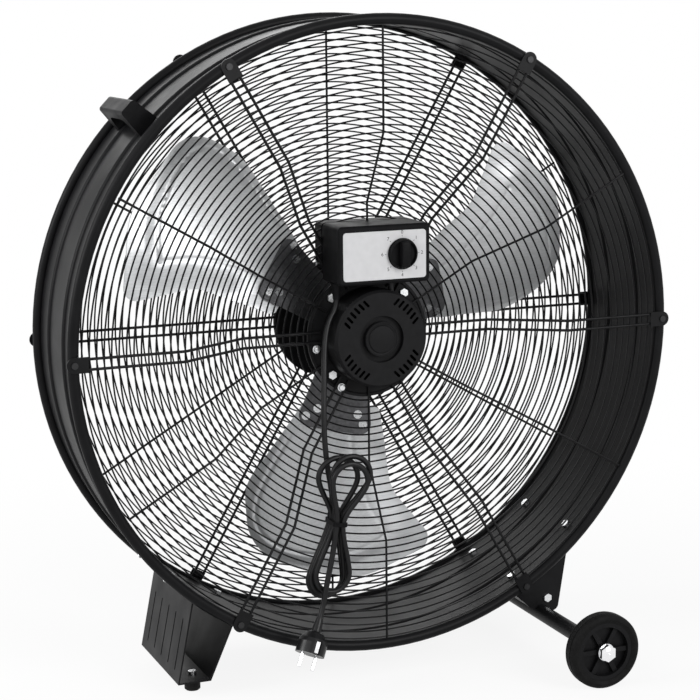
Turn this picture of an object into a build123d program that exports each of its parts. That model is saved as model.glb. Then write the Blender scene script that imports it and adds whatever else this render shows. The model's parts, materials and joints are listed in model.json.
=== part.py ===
"""Drum fan: a 77 cm floor drum with two wheels, a three-blade aluminium fan and a rear speed control.

Sizes are in millimetres.  The fan axis runs along Y and the control side faces -Y.
Everything is drawn from the middle of the drum, and is moved to the row's origin when it is written.
Clock angles run from +X towards +Z, in degrees.
"""
from build123d import *
import math
import os

# ---- whole machine ----
axis_height = 432.0  # fan axis above the floor
seat_play = 0.05  # between a screw or pin and the hole that it only passes through
running_play = 0.05  # radial, between a turning pin and its bore
head_gap = 0.1  # between a screw's head and the curved sheet under it
past_nut = 2.0  # thread that shows past a nut
past = 1.0  # how far a cutter reaches beyond what it cuts

# ---- drum: rolled sheet with a split tube pressed over each edge and two stiffening ribs ----
drum_bore = 390.0
drum_wall = 1.2
rim_station = 89.5  # middle of each edge tube, along the axis
rim_tube = 7.0  # outer radius of the split tube pressed over each edge
rim_slit = 2.2
rim_out = 3.0  # from the drum's bore to the middle of each edge tube
rib_station = 37.0
rib_width = 10.0
rib_height = 3.0

# ---- wire grilles ----
ring_wire = 2.4
spoke_wire = 3.6
grille_margin = 7.0  # from the drum's bore to the outermost ring
ring_pitch = 18.0
ring_count = 18
pair_gap = 12.5  # between the two spokes of a pair
recess_station = -40.0  # middle part of the rear grille
recess_start = 7  # ring where the slope into the recess begins
recess_end = 12  # ring where it ends
centre_disc_wall = 1.5
centre_disc_edge = 9.0
centre_disc_rise = 2.5

# ---- grille clips ----
clip_width = 19.0
clip_wall = 2.0
clip_run = 17.0  # from the middle of the edge tube to the clip's inner end
clip_screw = 2.0
clip_screw_head = 4.0
clip_screw_depth = 8.0

# ---- motor ----
mount_wall = 3.0
mount_radius = 81.0
mount_bolt_ring = 69.5
motor_radius = 60.0
motor_wall = 2.0
motor_rear = -60.0
motor_front = 0.0
shaft_gap = 2.0
ear_wall = 4.0
ear_radius = 9.0
cover_depth = 25.0
cover_wall = 1.5
cover_lap = 2.0
cover_bevel = 3.0
cover_groove = (22.0, 29.5)
cover_groove_depth = 6.0
vent_ring = 50.0
vent_length = 11.0
vent_width = 3.4
vent_depth = 5.0
vent_count = 6
vent_step = 8.4
bell_wall = 3.5
shaft_radius = 6.0
bearing_radius = 16.0
bearing_width = 10.0
bearing_boss_wall = 4.0
bearing_shoulder = 4.0
bearing_groove = 2.0
shaft_end_gap = 0.5  # from the rear end plate to the shaft
shaft_past_hub = 3.0
stator_length = 26.0
stator_bore = 36.0
air_gap = 0.6
winding_length = 8.0
winding_margin = 4.0
lead_in_motor = 12.0
lead_in_box = 2.0

# ---- fan ----
hub_front = 50.0
hub_radius = 20.0
hub_gap = 10.0  # from the motor to the hub
blade_plane = 36.0
blade_pitch = 20.0
blade_camber_radius = 382.0
blade_camber = 12.0
blade_middle = 20.0  # middle of the camber, across the blade
blade_wall = 1.6
blade_root = 100.0
blade_tip = 327.0
blade_root_edge = (-36.0, 52.0)  # across the blade
blade_root_corner = 8.0
blade_corners = (  # beyond the tip, across the blade, rounding
    (-95.0, -92.0, 60.0),
    (-5.0, -74.0, 55.0),
    (4.0, 62.0, 90.0),
    (-57.0, 158.0, 16.0),
    (-122.0, 84.0, 60.0),
)
blade_swath = 90.0  # room along the axis that a pitched blade or arm is cut from, each way
blade_clocks = (140.0, 20.0, 260.0)
arm_wall = 4.0
arm_reach = 138.0
arm_root_half = 18.0
arm_end_half = 46.0
arm_corner = 14.0
rivet_radius = 3.0
rivet_head = 5.5
rivet_head_height = 2.2
rivet_margin = 12.0  # from the blade's root to its inner rivets
rivet_across = ((-34.0, 34.0), (-22.0, 26.0))  # outer pair, inner pair
rivet_cut = 10.0
set_screw = 3.0
set_screw_margin = 2.5

# ---- control box ----
box_half_width = 61.0
box_bottom = 71.0
box_top = 144.0
box_face = -96.0
box_wall = 2.5
box_corner = 6.0
box_bevel = 2.5
box_screw_x = 52.0
box_screw_heights = (90.0, 130.0)
box_screw = 2.0
box_screw_reach = 12.0
box_screw_hole = 14.0
box_boss = 4.5
pan_depth = 22.0
pan_gap = 4.0  # from the motor's mounting ring
pan_wall = 1.5
plate_width = 110.0
plate_height = 60.0
plate_wall = 1.0
plate_corner = 4.0
plate_drop = 1.0
knob_x = 23.0
knob_z = 107.5
knob_radius = 19.5
knob_skirt = 6.0
knob_height = 16.0
knob_draft = 1.5
knob_gap = 1.0
grip_width = 9.0
grip_bevel = 1.5
switch_size = 32.0
switch_depth = 22.0
switch_bush = 5.0
switch_shaft_radius = 3.0
capacitor_size = (42.0, 20.0, 28.0)
capacitor_x = -25.0
gland_x = -53.0
gland_y = -66.0
gland_length = 20.0
gland_collar = 3.0
gland_collar_radius = 6.6
gland_thread = 4.4
gland_nut_height = 3.0
gland_nut_wall = 1.0
gland_sleeve_step = 1.4
gland_tip_wall = 0.8
motor_lead_x = 18.0
motor_lead_radius = 3.5

# ---- handle ----
handle_clock = 136.2
handle_length = 102.0
handle_height = 36.0
handle_top = 22.0
handle_base = 30.0
grip_opening = 72.0
grip_rise = 24.0
grip_arch = 16.0
handle_edge = 4.0
handle_rib_gap = 0.5
handle_screw_station = 46.5
handle_screw = 2.5
handle_screw_reach = 17.0
handle_screw_head = 3.0

# ---- legs ----
leg_bolt = 3.0
leg_bolt_station = 59.0
nut_height = 5.0
nut_flats = 10.0
head_height = 4.0
left_leg_half = 82.0
left_leg_sheet = 2.0
foot_height = 19.0
left_leg_outer_x = -273.0
left_leg_inner_x = -232.0
left_leg_meets = (-129.8, -120.5)
left_leg_ends = (-138.5, -113.5)
left_bolt_clocks = (-134.5, -117.0)
tab_station = 43.0  # bolted tabs start here, past the ribs
groove_width = 3.0
groove_depth = 0.8
groove_pitch = 30.0
groove_length = 66.0
groove_count = 5
groove_margin = 12.0
leg_rib_gap = 2.0
foot_radius = 10.0
foot_station = 50.0
foot_x = -246.0
foot_screw = 2.5
foot_screw_reach = 9.0
foot_screw_head = 3.0
foot_hole_depth = 10.0
foot_bevel = 1.5
right_leg_half = 82.0
right_leg_sheet = 2.5
right_bolt_clocks = (-60.0, -45.0)
right_tab_clocks = (-62.5, -42.0)
right_plate_clocks = (-62.5, -47.0)
right_web_run = 18.0  # from the axle back to the web's lower edge
right_web_rise = 9.0  # from the axle up to the web's lower edge
right_plate_run = 24.0  # from the axle out to the plates' lower corner
right_plate_corner = 9.0

# ---- axle and wheels ----
axle_x = 227.0
wheel_radius = 48.0
wheel_width = 22.0
near_wheel_reach = 246.0  # from the middle of the drum to the middle of the wheel
far_wheel_reach = 113.0
tyre_inner = 37.0
tyre_shoulder = 5.5
rim_inner = 31.5
rim_half = 9.0
hub_boss = 11.0
hub_half = 9.5
spoke_count = 6
spoke_width = 6.0
spoke_half = 6.0
web_half = 1.0
axle_radius = 6.0
tube_radius = 10.5
washer_wall = 1.2
washer_radius = 11.0
cap_nut_flats = 19.0
cap_nut_height = 6.0
cap_dome = 8.5
cap_dome_rise = 2.5
saddle_half = 14.0
saddle_rise = 20.0
saddle_bolt_run = 8.0  # from the axle out to the bolts
saddle_bolt_rise = 9.0  # from the tube's top up to the bolts

# ---- mains cord ----
cord_radius = 3.5
hank_turns = 3
hank_pitch = 8.2  # between the layers of the hank
hank_lean = 8.1  # degrees, top towards +X
hank_waist = (-76.0, -218.0)
hank_station = -104.5  # layer that lies next to the grille
waist_half = 4.1
waist_run = 10.0
hank_end_run = 12.0
loop_sweep = 210.0
loop_steps = 6
arc_share = 0.45  # of the shorter of two runs, taken up by the arc that joins them
top_loops = ((-3.0, 26.0, 80.0), (11.0, 25.0, 84.0), (7.0, 23.0, 76.0))  # shift, radius, height
low_loops = ((0.0, 22.6, 98.0), (-1.0, 21.8, 93.0), (2.0, 22.2, 88.0))
tie_height = 5.0
tie_wall = 1.5
tie_gap = 0.3
plug_entry = Vector(-106.0, -134.0, -333.0)
plug_direction = Vector(-0.42, -0.30, -0.857)
plug_length = 46.0
plug_head = 18.5
plug_neck = (17.0, 2.8)  # length, and what the tail's end has over the cord's radius
plug_mouth = 1.0  # what the tail's start has over the cord's radius
plug_shoulder = ((2.0, 11.0), (10.0, 17.0))  # past the neck, radius
plug_head_start = 15.0  # past the neck
plug_groove = (8.0, 3.0, 18.0)  # width, depth, length
earth_strip = (5.0, 1.0, 14.0)
earth_strip_seat = 2.4
plug_pin_radius = 2.4
plug_pin_gap = 19.0
plug_pin_length = 19.0
plug_pin_rounding = 1.9

# ---- places that follow from the sizes above ----
floor = -axis_height
drum_outer = drum_bore + drum_wall
rim_ring = drum_bore + rim_out
grille_reach = drum_bore - grille_margin
clip_inner = rim_ring - clip_run
rim_crest = rim_station + rim_tube
rear_station = -rim_crest + spoke_wire / 2
front_station = rim_crest - spoke_wire / 2
ring_radii = [grille_reach - ring_pitch * k for k in range(ring_count)]
spokes = [(clock, side * pair_gap / 2) for clock in range(0, 360, 60) for side in (-1, 1)]
spokes += [(clock, 0.0) for clock in range(30, 360, 60)]
spokes.sort(key=lambda spoke: spoke[0] + spoke[1] / grille_reach)
mount_rear = recess_station + spoke_wire / 2
mount_front = mount_rear + mount_wall
box_back = recess_station - spoke_wire / 2
cover_rear = motor_rear - cover_depth
rotor_middle = (motor_rear + motor_front) / 2
rim_clocks = range(0, 360, 60)
left_leg_bottom = floor + foot_height + left_leg_sheet
axle_z = floor + wheel_radius
saddle_low = axle_z + tube_radius
saddle_bolt_x = axle_x + saddle_bolt_run
saddle_bolt_z = saddle_low + saddle_bolt_rise
wheel_reaches = {-1: near_wheel_reach, 1: far_wheel_reach}
tube_step = hub_half + washer_wall + running_play  # from a wheel's middle in to the tube's end
nut_step = hub_half + running_play + washer_wall  # from a wheel's middle out to its nut
frame_shift = (near_wheel_reach - far_wheel_reach) / 2  # puts the outline's middle at y = 0


def at_clock(radius, clock, y=0.0):
    angle = math.radians(clock)
    return Vector(radius * math.cos(angle), y, radius * math.sin(angle))


def radial_bar(radius, inner, outer, clock, y):
    """Round bar along the drum's radius."""
    plane = Plane(origin=at_clock(inner, clock, y), z_dir=at_clock(1, clock))
    return plane * Cylinder(radius, outer - inner, align=(Align.CENTER, Align.CENTER, Align.MIN))


def axial_bar(radius, low, high, x=0.0, z=0.0):
    """Round bar along the fan axis."""
    plane = Plane(origin=(x, high, z), x_dir=(1, 0, 0), z_dir=(0, -1, 0))
    return plane * Cylinder(radius, high - low, align=(Align.CENTER, Align.CENTER, Align.MIN))


def axial_plate(outline, low, high):
    """Outline drawn in x and z, made solid between two stations on the fan axis."""
    return extrude(Plane.XZ.offset(-high) * outline, high - low)


def turned(*points):
    """Body of revolution about the fan axis, from points of radius and station."""
    return revolve(make_face(Polyline(*points, close=True)), Axis.Y)


def block(x, y, z):
    """Box between two corners, each given as a pair of values."""
    size = [pair[1] - pair[0] for pair in (x, y, z)]
    return Pos(x[0], y[0], z[0]) * Box(*size, align=Align.MIN)


def clock_turn(shape, clock):
    return Rot(0, -clock, 0) * shape


def both_sides(make):
    """The same piece at the two stations -1 and +1 along the fan axis."""
    return [make(side) for side in (-1, 1)]


def pen_stroke(points, width):
    """Flat strip of even width along straight runs, with round bends and ends."""
    strip = None
    for (x0, z0), (x1, z1) in zip(points, points[1:]):
        run = math.hypot(x1 - x0, z1 - z0)
        turn = math.degrees(math.atan2(z1 - z0, x1 - x0))
        piece = Pos((x0 + x1) / 2, (z0 + z1) / 2) * Rot(0, 0, turn) * SlotCenterToCenter(run, width)
        strip = piece if strip is None else strip + piece
    return strip


def arc_band(inner, outer, start, end):
    """Part of a ring, drawn in x and z, between two clock angles."""
    middle = (start + end) / 2

    def flat(radius, clock):
        point = at_clock(radius, clock)
        return (point.X, point.Z)

    lines = [
        Line(flat(inner, start), flat(outer, start)),
        ThreePointArc(flat(outer, start), flat(outer, middle), flat(outer, end)),
        Line(flat(outer, end), flat(inner, end)),
        ThreePointArc(flat(inner, end), flat(inner, middle), flat(inner, start)),
    ]
    return make_face(lines)


def hex_head(low, high, flats, plane):
    """Hexagon between two heights on a plane."""
    corner = flats / 2 / math.cos(math.pi / 6)
    return plane * Pos(0, 0, low) * extrude(RegularPolygon(corner, 6), high - low)


def write(name, *shapes):
    """Move the pieces to the row's origin on the floor and write their file."""
    solids = [solid for shape in shapes for solid in shape.solids()]
    lifted = [Pos(0, frame_shift, axis_height) * solid for solid in solids]
    whole = lifted[0] if len(lifted) == 1 else Compound(label=name, children=lifted)
    whole.label = name
    export_step(whole, f"parts/{name}.step")


# ------------------------------------------------------------------ drum, grilles and clips
def make_drum():
    rib_circle = (rib_width**2 / 4 + rib_height**2) / (2 * rib_height)
    rib_centre = drum_outer + rib_height - rib_circle
    profile = Pos(drum_bore + drum_wall / 2, 0) * Rectangle(drum_wall, 2 * rim_station)
    outside = Pos(drum_bore + rib_circle, 0) * Rectangle(2 * rib_circle, 2 * rim_station)
    for side in (-1, 1):
        rib = Pos(rib_centre, side * rib_station) * Circle(rib_circle)
        profile += rib & outside
        profile -= Pos(rib_centre, side * rib_station) * Circle(rib_circle - drum_wall)
        tube = Circle(rim_tube) - Circle(rim_tube - drum_wall)
        slit = Pos(drum_outer - rim_ring - rim_slit / 2, -side * rim_tube) * Rectangle(rim_slit, 2 * rim_tube)
        profile += Pos(rim_ring, side * rim_station) * (tube - slit)
    drum = revolve(profile, Axis.Y)
    holes = []
    for clock in left_bolt_clocks + right_bolt_clocks:
        for side in (-1, 1):
            ends = (drum_bore - past, drum_outer + past)
            holes.append(radial_bar(leg_bolt + seat_play, *ends, clock, side * leg_bolt_station))
    for side in (-1, 1):
        holes.append(make_handle_screw_bar(side, handle_screw, seat_play, past))
        for clock in rim_clocks:
            seat = at_clock(rim_ring, clock)
            ends = sorted((side * (rim_crest + past), side * (rim_crest - clip_screw_depth)))
            holes.append(axial_bar(clip_screw + seat_play, *ends, seat.X, seat.Z))
    return drum - holes


def grille_gap(inner, outer, first, second):
    """Opening between two rings and two neighbouring spokes, drawn in x and z."""

    def corner(radius, spoke, edge):
        clock, offset = spoke
        lean = math.degrees(math.asin((offset + edge * spoke_wire / 2) / radius))
        return clock + lean

    def flat(radius, clock):
        point = at_clock(radius, clock)
        return (point.X, point.Z)

    low, high = inner + ring_wire / 2, outer - ring_wire / 2
    start_low, start_high = corner(low, first, 1), corner(high, first, 1)
    end_low, end_high = corner(low, second, -1), corner(high, second, -1)
    return Wire(
        [
            Line(flat(low, start_low), flat(high, start_high)),
            ThreePointArc(
                flat(high, start_high), flat(high, (start_high + end_high) / 2), flat(high, end_high)
            ),
            Line(flat(high, end_high), flat(low, end_low)),
            ThreePointArc(flat(low, end_low), flat(low, (start_low + end_low) / 2), flat(low, start_low)),
        ]
    )


def flat_grille(radii, station):
    """Flat zone of a grille: the given rings, outermost first, and all spokes between them."""
    neighbours = spokes[1:] + [(spokes[0][0] + 360, spokes[0][1])]
    gaps = [Wire.make_circle(radii[-1] - ring_wire / 2)]
    for outer, inner in zip(radii, radii[1:]):
        for first, second in zip(spokes, neighbours):
            gaps.append(grille_gap(inner, outer, first, second))
    face = Face(Wire.make_circle(radii[0] + ring_wire / 2), gaps)
    return axial_plate(face, station - spoke_wire / 2, station + spoke_wire / 2)


def make_rear_grille():
    slope = ring_radii[recess_start : recess_end + 1]
    outer = flat_grille(ring_radii[: recess_start + 1], rear_station)
    inner = flat_grille(ring_radii[recess_end:], recess_station)
    half = spoke_wire / 2
    bent = make_face(
        Polyline(
            (slope[0], rear_station - half),
            (slope[0], rear_station + half),
            (slope[-1], recess_station + half),
            (slope[-1], recess_station - half),
            close=True,
        )
    )
    pieces = [inner]
    for clock, offset in spokes:
        spoke = Pos(0, 0, offset - half) * extrude(bent, spoke_wire)
        pieces.append(clock_turn(spoke, clock))
    drop = (recess_station - rear_station) / (slope[0] - slope[-1])
    for radius in slope[1:-1]:
        station = rear_station + (slope[0] - radius) * drop
        pieces.append(revolve(Pos(radius, station) * Rectangle(ring_wire, spoke_wire), Axis.Y))
    return outer.fuse(*pieces)


def make_front_grille():
    return flat_grille(ring_radii, front_station)


def make_centre_disc():
    """Plain pressed dish that closes the middle of the front grille."""
    edge = ring_radii[-1] + ring_wire / 2
    face = front_station + spoke_wire / 2
    shoulder = edge - centre_disc_edge
    return turned(
        (0, face + centre_disc_rise),
        (shoulder, face + centre_disc_rise),
        (edge - ring_wire, face),
        (edge, face),
        (edge, face + centre_disc_wall),
        (shoulder, face + centre_disc_rise + centre_disc_wall),
        (0, face + centre_disc_rise + centre_disc_wall),
    )


def make_clip(clock, side):
    """Round-ended tab that holds a pair of spokes against the rim."""
    run = rim_ring - clip_inner
    outline = Pos(clip_inner + run / 2, 0) * Rectangle(run, clip_width)
    outline += Pos(rim_ring, 0) * Circle(clip_width / 2)
    outline -= Pos(rim_ring, 0) * Circle(clip_screw + seat_play)
    low, high = sorted((side * rim_crest, side * (rim_crest + clip_wall)))
    return clock_turn(axial_plate(outline, low, high), clock)


def make_clip_screw(clock, side):
    seat = at_clock(rim_ring, clock)
    face = side * (rim_crest + clip_wall)
    shank = sorted((face, side * (rim_crest - clip_screw_depth + past)))
    head = sorted((face, face + side * clip_screw))
    return axial_bar(clip_screw, *shank, seat.X, seat.Z) + axial_bar(clip_screw_head, *head, seat.X, seat.Z)


# ------------------------------------------------------------------ motor
def mount_places():
    return [at_clock(mount_bolt_ring, clock) for clock in range(45, 360, 90)]


def make_mount_plate():
    plate = axial_bar(mount_radius, mount_rear, mount_front)
    plate -= axial_bar(motor_radius + seat_play, mount_rear - past, mount_front + past)
    for place in mount_places():
        hole = axial_bar(leg_bolt + seat_play, mount_rear - past, mount_front + past, place.X, place.Z)
        plate -= hole
    return plate


def make_mount_bolt(place):
    front = mount_front + ear_wall + nut_height + past_nut
    plane = Plane(origin=(place.X, mount_rear, place.Z), z_dir=(0, -1, 0))
    shank = axial_bar(leg_bolt, mount_rear, front, place.X, place.Z)
    return shank + hex_head(0, head_height, nut_flats, plane)


def make_nut(origin, direction):
    plane = Plane(origin=origin, z_dir=direction)
    nut = hex_head(0, nut_height, nut_flats, plane)
    return nut - plane * Cylinder(leg_bolt + seat_play, 3 * nut_height)


def make_motor_housing():
    """Drawn steel shell with the front bearing seat and four mounting ears."""
    inside = motor_radius - motor_wall
    seat = motor_front - bearing_width - bearing_shoulder
    boss = bearing_radius + bearing_boss_wall
    shell = turned(
        (motor_radius, motor_rear),
        (motor_radius, motor_front),
        (shaft_radius + shaft_gap, motor_front),
        (shaft_radius + shaft_gap, motor_front - bearing_shoulder),
        (bearing_radius, motor_front - bearing_shoulder),
        (bearing_radius, seat),
        (boss, seat),
        (boss, motor_front - bearing_shoulder),
        (inside, motor_front - bearing_shoulder),
        (inside, motor_rear),
    )
    for place in mount_places():
        clock = math.degrees(math.atan2(place.Z, place.X))
        run = mount_bolt_ring - motor_radius
        ear = Pos(motor_radius + run / 2, 0) * Rectangle(run + 2 * motor_wall, 2 * ear_radius)
        ear += Pos(mount_bolt_ring, 0) * Circle(ear_radius)
        ear -= Pos(mount_bolt_ring, 0) * Circle(leg_bolt + seat_play)
        ear -= Circle(motor_radius - motor_wall / 2)
        shell += clock_turn(axial_plate(ear, mount_front, mount_front + ear_wall), clock)
    return shell


def make_end_bell():
    """Rear end plate with the rear bearing seat."""
    boss = bearing_radius + bearing_boss_wall
    return turned(
        (0, motor_rear),
        (motor_radius - motor_wall, motor_rear),
        (motor_radius - motor_wall, motor_rear + bell_wall),
        (boss, motor_rear + bell_wall),
        (boss, motor_rear + bell_wall + bearing_width),
        (bearing_radius, motor_rear + bell_wall + bearing_width),
        (bearing_radius, motor_rear + bell_wall),
        (0, motor_rear + bell_wall),
    )


def make_rear_cover():
    """Vented cap over the back of the motor, with a round boss in a ring groove."""
    outer = motor_radius + cover_wall
    lip = motor_rear + cover_lap
    groove_in, groove_out = cover_groove
    floor_station = cover_rear + cover_groove_depth
    cover = turned(
        (0, cover_rear),
        (groove_in, cover_rear),
        (groove_in, floor_station),
        (groove_out, floor_station),
        (groove_out, cover_rear),
        (outer - cover_bevel, cover_rear),
        (outer, cover_rear + cover_bevel),
        (outer, lip),
        (motor_radius, lip),
        (motor_radius, cover_rear + cover_bevel),
        (motor_radius - cover_bevel + cover_wall, cover_rear + cover_wall),
        (groove_out + cover_wall, cover_rear + cover_wall),
        (groove_out + cover_wall, floor_station + cover_wall),
        (0, floor_station + cover_wall),
    )
    slots = []
    for group in range(45, 360, 90):
        for k in range(vent_count):
            turn = math.radians((k - (vent_count - 1) / 2) * vent_step)
            slot = Pos(vent_ring * math.cos(turn), vent_ring * math.sin(turn)) * SlotOverall(
                vent_length, vent_width
            )
            slots.append(clock_turn(axial_plate(slot, cover_rear - past, cover_rear + vent_depth), group))
    lead = Pos(motor_lead_x, (cover_rear + motor_rear) / 2, motor_radius)
    slots.append(lead * Cylinder(motor_lead_radius + seat_play, 2 * lead_in_motor))
    return cover - slots


def make_motor_lead():
    """Sleeved lead that drops from the control box into the motor."""
    middle = (cover_rear + motor_rear) / 2
    inner = motor_radius - lead_in_motor
    place = Pos(motor_lead_x, middle, inner)
    length = box_bottom + box_wall + lead_in_box - inner
    return place * Cylinder(motor_lead_radius, length, align=(Align.CENTER, Align.CENTER, Align.MIN))


def make_bearing(low):
    high = low + bearing_width
    ring = turned(
        (shaft_radius + running_play, low),
        (bearing_radius, low),
        (bearing_radius, high),
        (shaft_radius + running_play, high),
    )
    race = (shaft_radius + bearing_radius) / 2
    for station in (low, high):
        ring -= revolve(Pos(race, station) * Rectangle(bearing_groove, bearing_groove), Axis.Y)
    return ring


def make_stator():
    half = stator_length / 2
    outer = motor_radius - motor_wall
    return axial_bar(outer, rotor_middle - half, rotor_middle + half) - axial_bar(
        stator_bore, rotor_middle - half - past, rotor_middle + half + past
    )


def make_windings():
    """The two rings of copper end turns."""
    inner = stator_bore + winding_margin
    outer = motor_radius - motor_wall - winding_margin
    rings = []
    for side in (-1, 1):
        start = rotor_middle + side * stator_length / 2
        profile = Pos((inner + outer) / 2, start + side * winding_length / 2) * Rectangle(
            outer - inner, winding_length
        )
        rings.append(revolve(fillet(profile.vertices(), winding_length / 4), Axis.Y))
    return rings


def make_rotor():
    half = stator_length / 2
    core = axial_bar(stator_bore - air_gap, rotor_middle - half, rotor_middle + half)
    return core - axial_bar(shaft_radius, rotor_middle - half - past, rotor_middle + half + past)


def make_shaft():
    return axial_bar(shaft_radius, motor_rear + bell_wall + shaft_end_gap, hub_front + shaft_past_hub)


# ------------------------------------------------------------------ hub and blades
blade_lean = math.radians(blade_pitch)
camber_rise = blade_camber_radius - blade_camber
camber_across = blade_middle + camber_rise * math.sin(blade_lean)
camber_along = blade_plane - blade_middle * math.tan(blade_lean) + camber_rise * math.cos(blade_lean)


def camber_shell(inner, outer, low, high):
    """Part of the long cylinder that a blade is pressed to, between two reaches along the blade."""
    place = Plane(origin=(low, camber_along, camber_across), z_dir=(1, 0, 0))
    flat = Circle(outer) - Circle(inner)
    return extrude(place * flat, high - low)


def make_arm_outline():
    outline = make_face(
        Polyline(
            (0, -arm_root_half),
            (arm_reach, -arm_end_half),
            (arm_reach, arm_end_half),
            (0, arm_root_half),
            close=True,
        )
    )
    ends = outline.vertices().sort_by(Axis.X)[-2:]
    return fillet(ends, arm_corner)


def make_hub():
    """Cast hub with three pitched arms that the blades are riveted to."""
    low = motor_front + hub_gap
    hub = axial_bar(hub_radius, low, hub_front)
    reach = axial_plate(make_arm_outline(), low - blade_swath, hub_front + blade_swath)
    skin = blade_camber_radius + blade_wall / 2
    arm = camber_shell(skin, skin + arm_wall, shaft_radius, arm_reach + past) & reach
    for clock in blade_clocks:
        hub += clock_turn(arm, clock)
        for rivet_hole in rivet_places():
            hole = rivet_bar(rivet_hole, rivet_radius + seat_play, -rivet_cut, rivet_cut)
            hub -= clock_turn(hole, clock)
    hub -= axial_bar(shaft_radius, low - blade_swath, hub_front + blade_swath)
    return hub - make_set_screw(seat_play)


def make_set_screw(play=0.0):
    """Screw that locks the hub to the shaft, in the gap between two arms."""
    station = motor_front + hub_gap + set_screw + set_screw_margin
    clock = (blade_clocks[0] + blade_clocks[1]) / 2
    return radial_bar(set_screw + play, shaft_radius, hub_radius, clock, station)


def blade_outline():
    """Planform of a blade along +X, with the swept leading corner at +Z."""
    first, last = blade_root_edge
    corners = [(blade_root, first)]
    corners += [(blade_tip + beyond, across) for beyond, across, _ in blade_corners]
    corners.append((blade_root, last))
    radii = [blade_root_corner, *(rounding for _, _, rounding in blade_corners), blade_root_corner]
    outline = make_face(Polyline(*corners, close=True))
    for corner, radius in zip(corners, radii):
        vertex = outline.vertices().sort_by_distance(Vector(*corner))[0]
        outline = fillet(vertex, radius)
    return outline


def make_blade():
    half = blade_wall / 2
    skins = (blade_camber_radius - half, blade_camber_radius + half)
    shell = camber_shell(*skins, blade_root - past, drum_bore)
    blade = shell & axial_plate(blade_outline(), blade_plane - blade_swath, blade_plane + blade_swath)
    for place in rivet_places():
        blade -= rivet_bar(place, rivet_radius + seat_play, -rivet_cut, rivet_cut)
    return blade


def rivet_places():
    reaches = (arm_reach - arm_corner, blade_root + rivet_margin)
    return [(reach, across) for reach, pair in zip(reaches, rivet_across) for across in pair]


def rivet_bar(place, radius, low, high):
    """Bar square to the blade; low and high are measured from its rear skin, rearwards."""
    reach, across = place
    turn = math.asin((across - camber_across) / blade_camber_radius)
    out = Vector(0, -math.cos(turn), math.sin(turn))
    centre = Vector(reach, camber_along, camber_across)
    start = centre + out * (blade_camber_radius + blade_wall / 2 + low)
    plane = Plane(origin=start, z_dir=out)
    return plane * Cylinder(radius, high - low, align=(Align.CENTER, Align.CENTER, Align.MIN))


def make_rivet(place):
    front = -blade_wall - seat_play
    back = arm_wall + seat_play
    rivet = rivet_bar(place, rivet_radius, front - rivet_head_height, back + rivet_head_height)
    rivet += rivet_bar(place, rivet_head, front - rivet_head_height, front)
    return rivet + rivet_bar(place, rivet_head, back, back + rivet_head_height)


# ------------------------------------------------------------------ control box
def box_screw_places():
    return [(side * box_screw_x, height) for side in (-1, 1) for height in box_screw_heights]


def make_control_box():
    width = (-box_half_width, box_half_width)
    shell = block(width, (box_face, box_back), (box_bottom, box_top))
    shell = fillet(shell.edges().filter_by(Axis.Y), box_corner)
    shell = chamfer(shell.faces().sort_by(Axis.Y)[0].edges(), box_bevel)
    inner = (-box_half_width + box_wall, box_half_width - box_wall)
    height = (box_bottom + box_wall, box_top - box_wall)
    shell -= block(inner, (box_face + box_wall, box_back + past), height)
    for x, z in box_screw_places():
        post = axial_bar(box_boss, box_face + box_wall, box_back, x, z)
        shell += post - axial_bar(box_screw + seat_play, box_back - box_screw_hole, box_back + past, x, z)
    ends = (box_face - past, box_face + box_wall + past)
    shell -= axial_bar(switch_bush + seat_play, *ends, knob_x, knob_z)
    shell -= Pos(gland_x, gland_y, box_bottom) * Cylinder(gland_thread + seat_play, 4 * box_wall)
    middle = (cover_rear + motor_rear) / 2
    lead = Cylinder(motor_lead_radius + seat_play, 4 * box_wall)
    return shell - Pos(motor_lead_x, middle, box_bottom) * lead


def make_faceplate():
    middle = (box_bottom + box_top) / 2
    outline = Pos(0, middle - plate_drop) * RectangleRounded(plate_width, plate_height, plate_corner)
    outline -= Pos(knob_x, knob_z) * Circle(switch_bush + seat_play)
    return axial_plate(outline, box_face - plate_wall, box_face)


def make_back_pan():
    """Pan behind the recessed wires; its screws clamp the box to the grille."""
    front = mount_rear + pan_depth
    low = mount_radius + pan_gap
    width = (-box_half_width, box_half_width)
    pan = block(width, (mount_rear, front), (low, box_top))
    pan = fillet(pan.edges().filter_by(Axis.Y), box_corner)
    inner = (-box_half_width + pan_wall, box_half_width - pan_wall)
    pan -= block(inner, (mount_rear - past, front - pan_wall), (low + pan_wall, box_top - pan_wall))
    for x, z in box_screw_places():
        pan += axial_bar(box_boss, mount_rear, front, x, z)
        pan -= axial_bar(box_screw + seat_play, mount_rear - past, front + past, x, z)
    return pan


def make_box_screw(x, z):
    front = mount_rear + pan_depth
    shank = axial_bar(box_screw, box_back - box_screw_reach, front, x, z)
    return shank + axial_bar(2 * box_screw, front, front + box_screw, x, z)


def make_switch():
    half = switch_size / 2
    back = box_face + box_wall
    body = block(
        (knob_x - half, knob_x + half), (back, back + switch_depth), (knob_z - half, knob_z + half)
    )
    body += axial_bar(switch_bush, box_face - plate_wall - knob_gap / 2, back, knob_x, knob_z)
    bore = axial_bar(
        switch_shaft_radius + running_play,
        box_face - plate_wall - past,
        back + switch_depth / 2 + past,
        knob_x,
        knob_z,
    )
    return body - bore


def make_switch_shaft():
    back = box_face + box_wall + switch_depth / 2
    front = box_face - plate_wall - knob_gap - knob_skirt
    return axial_bar(switch_shaft_radius, front, back, knob_x, knob_z)


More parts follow.
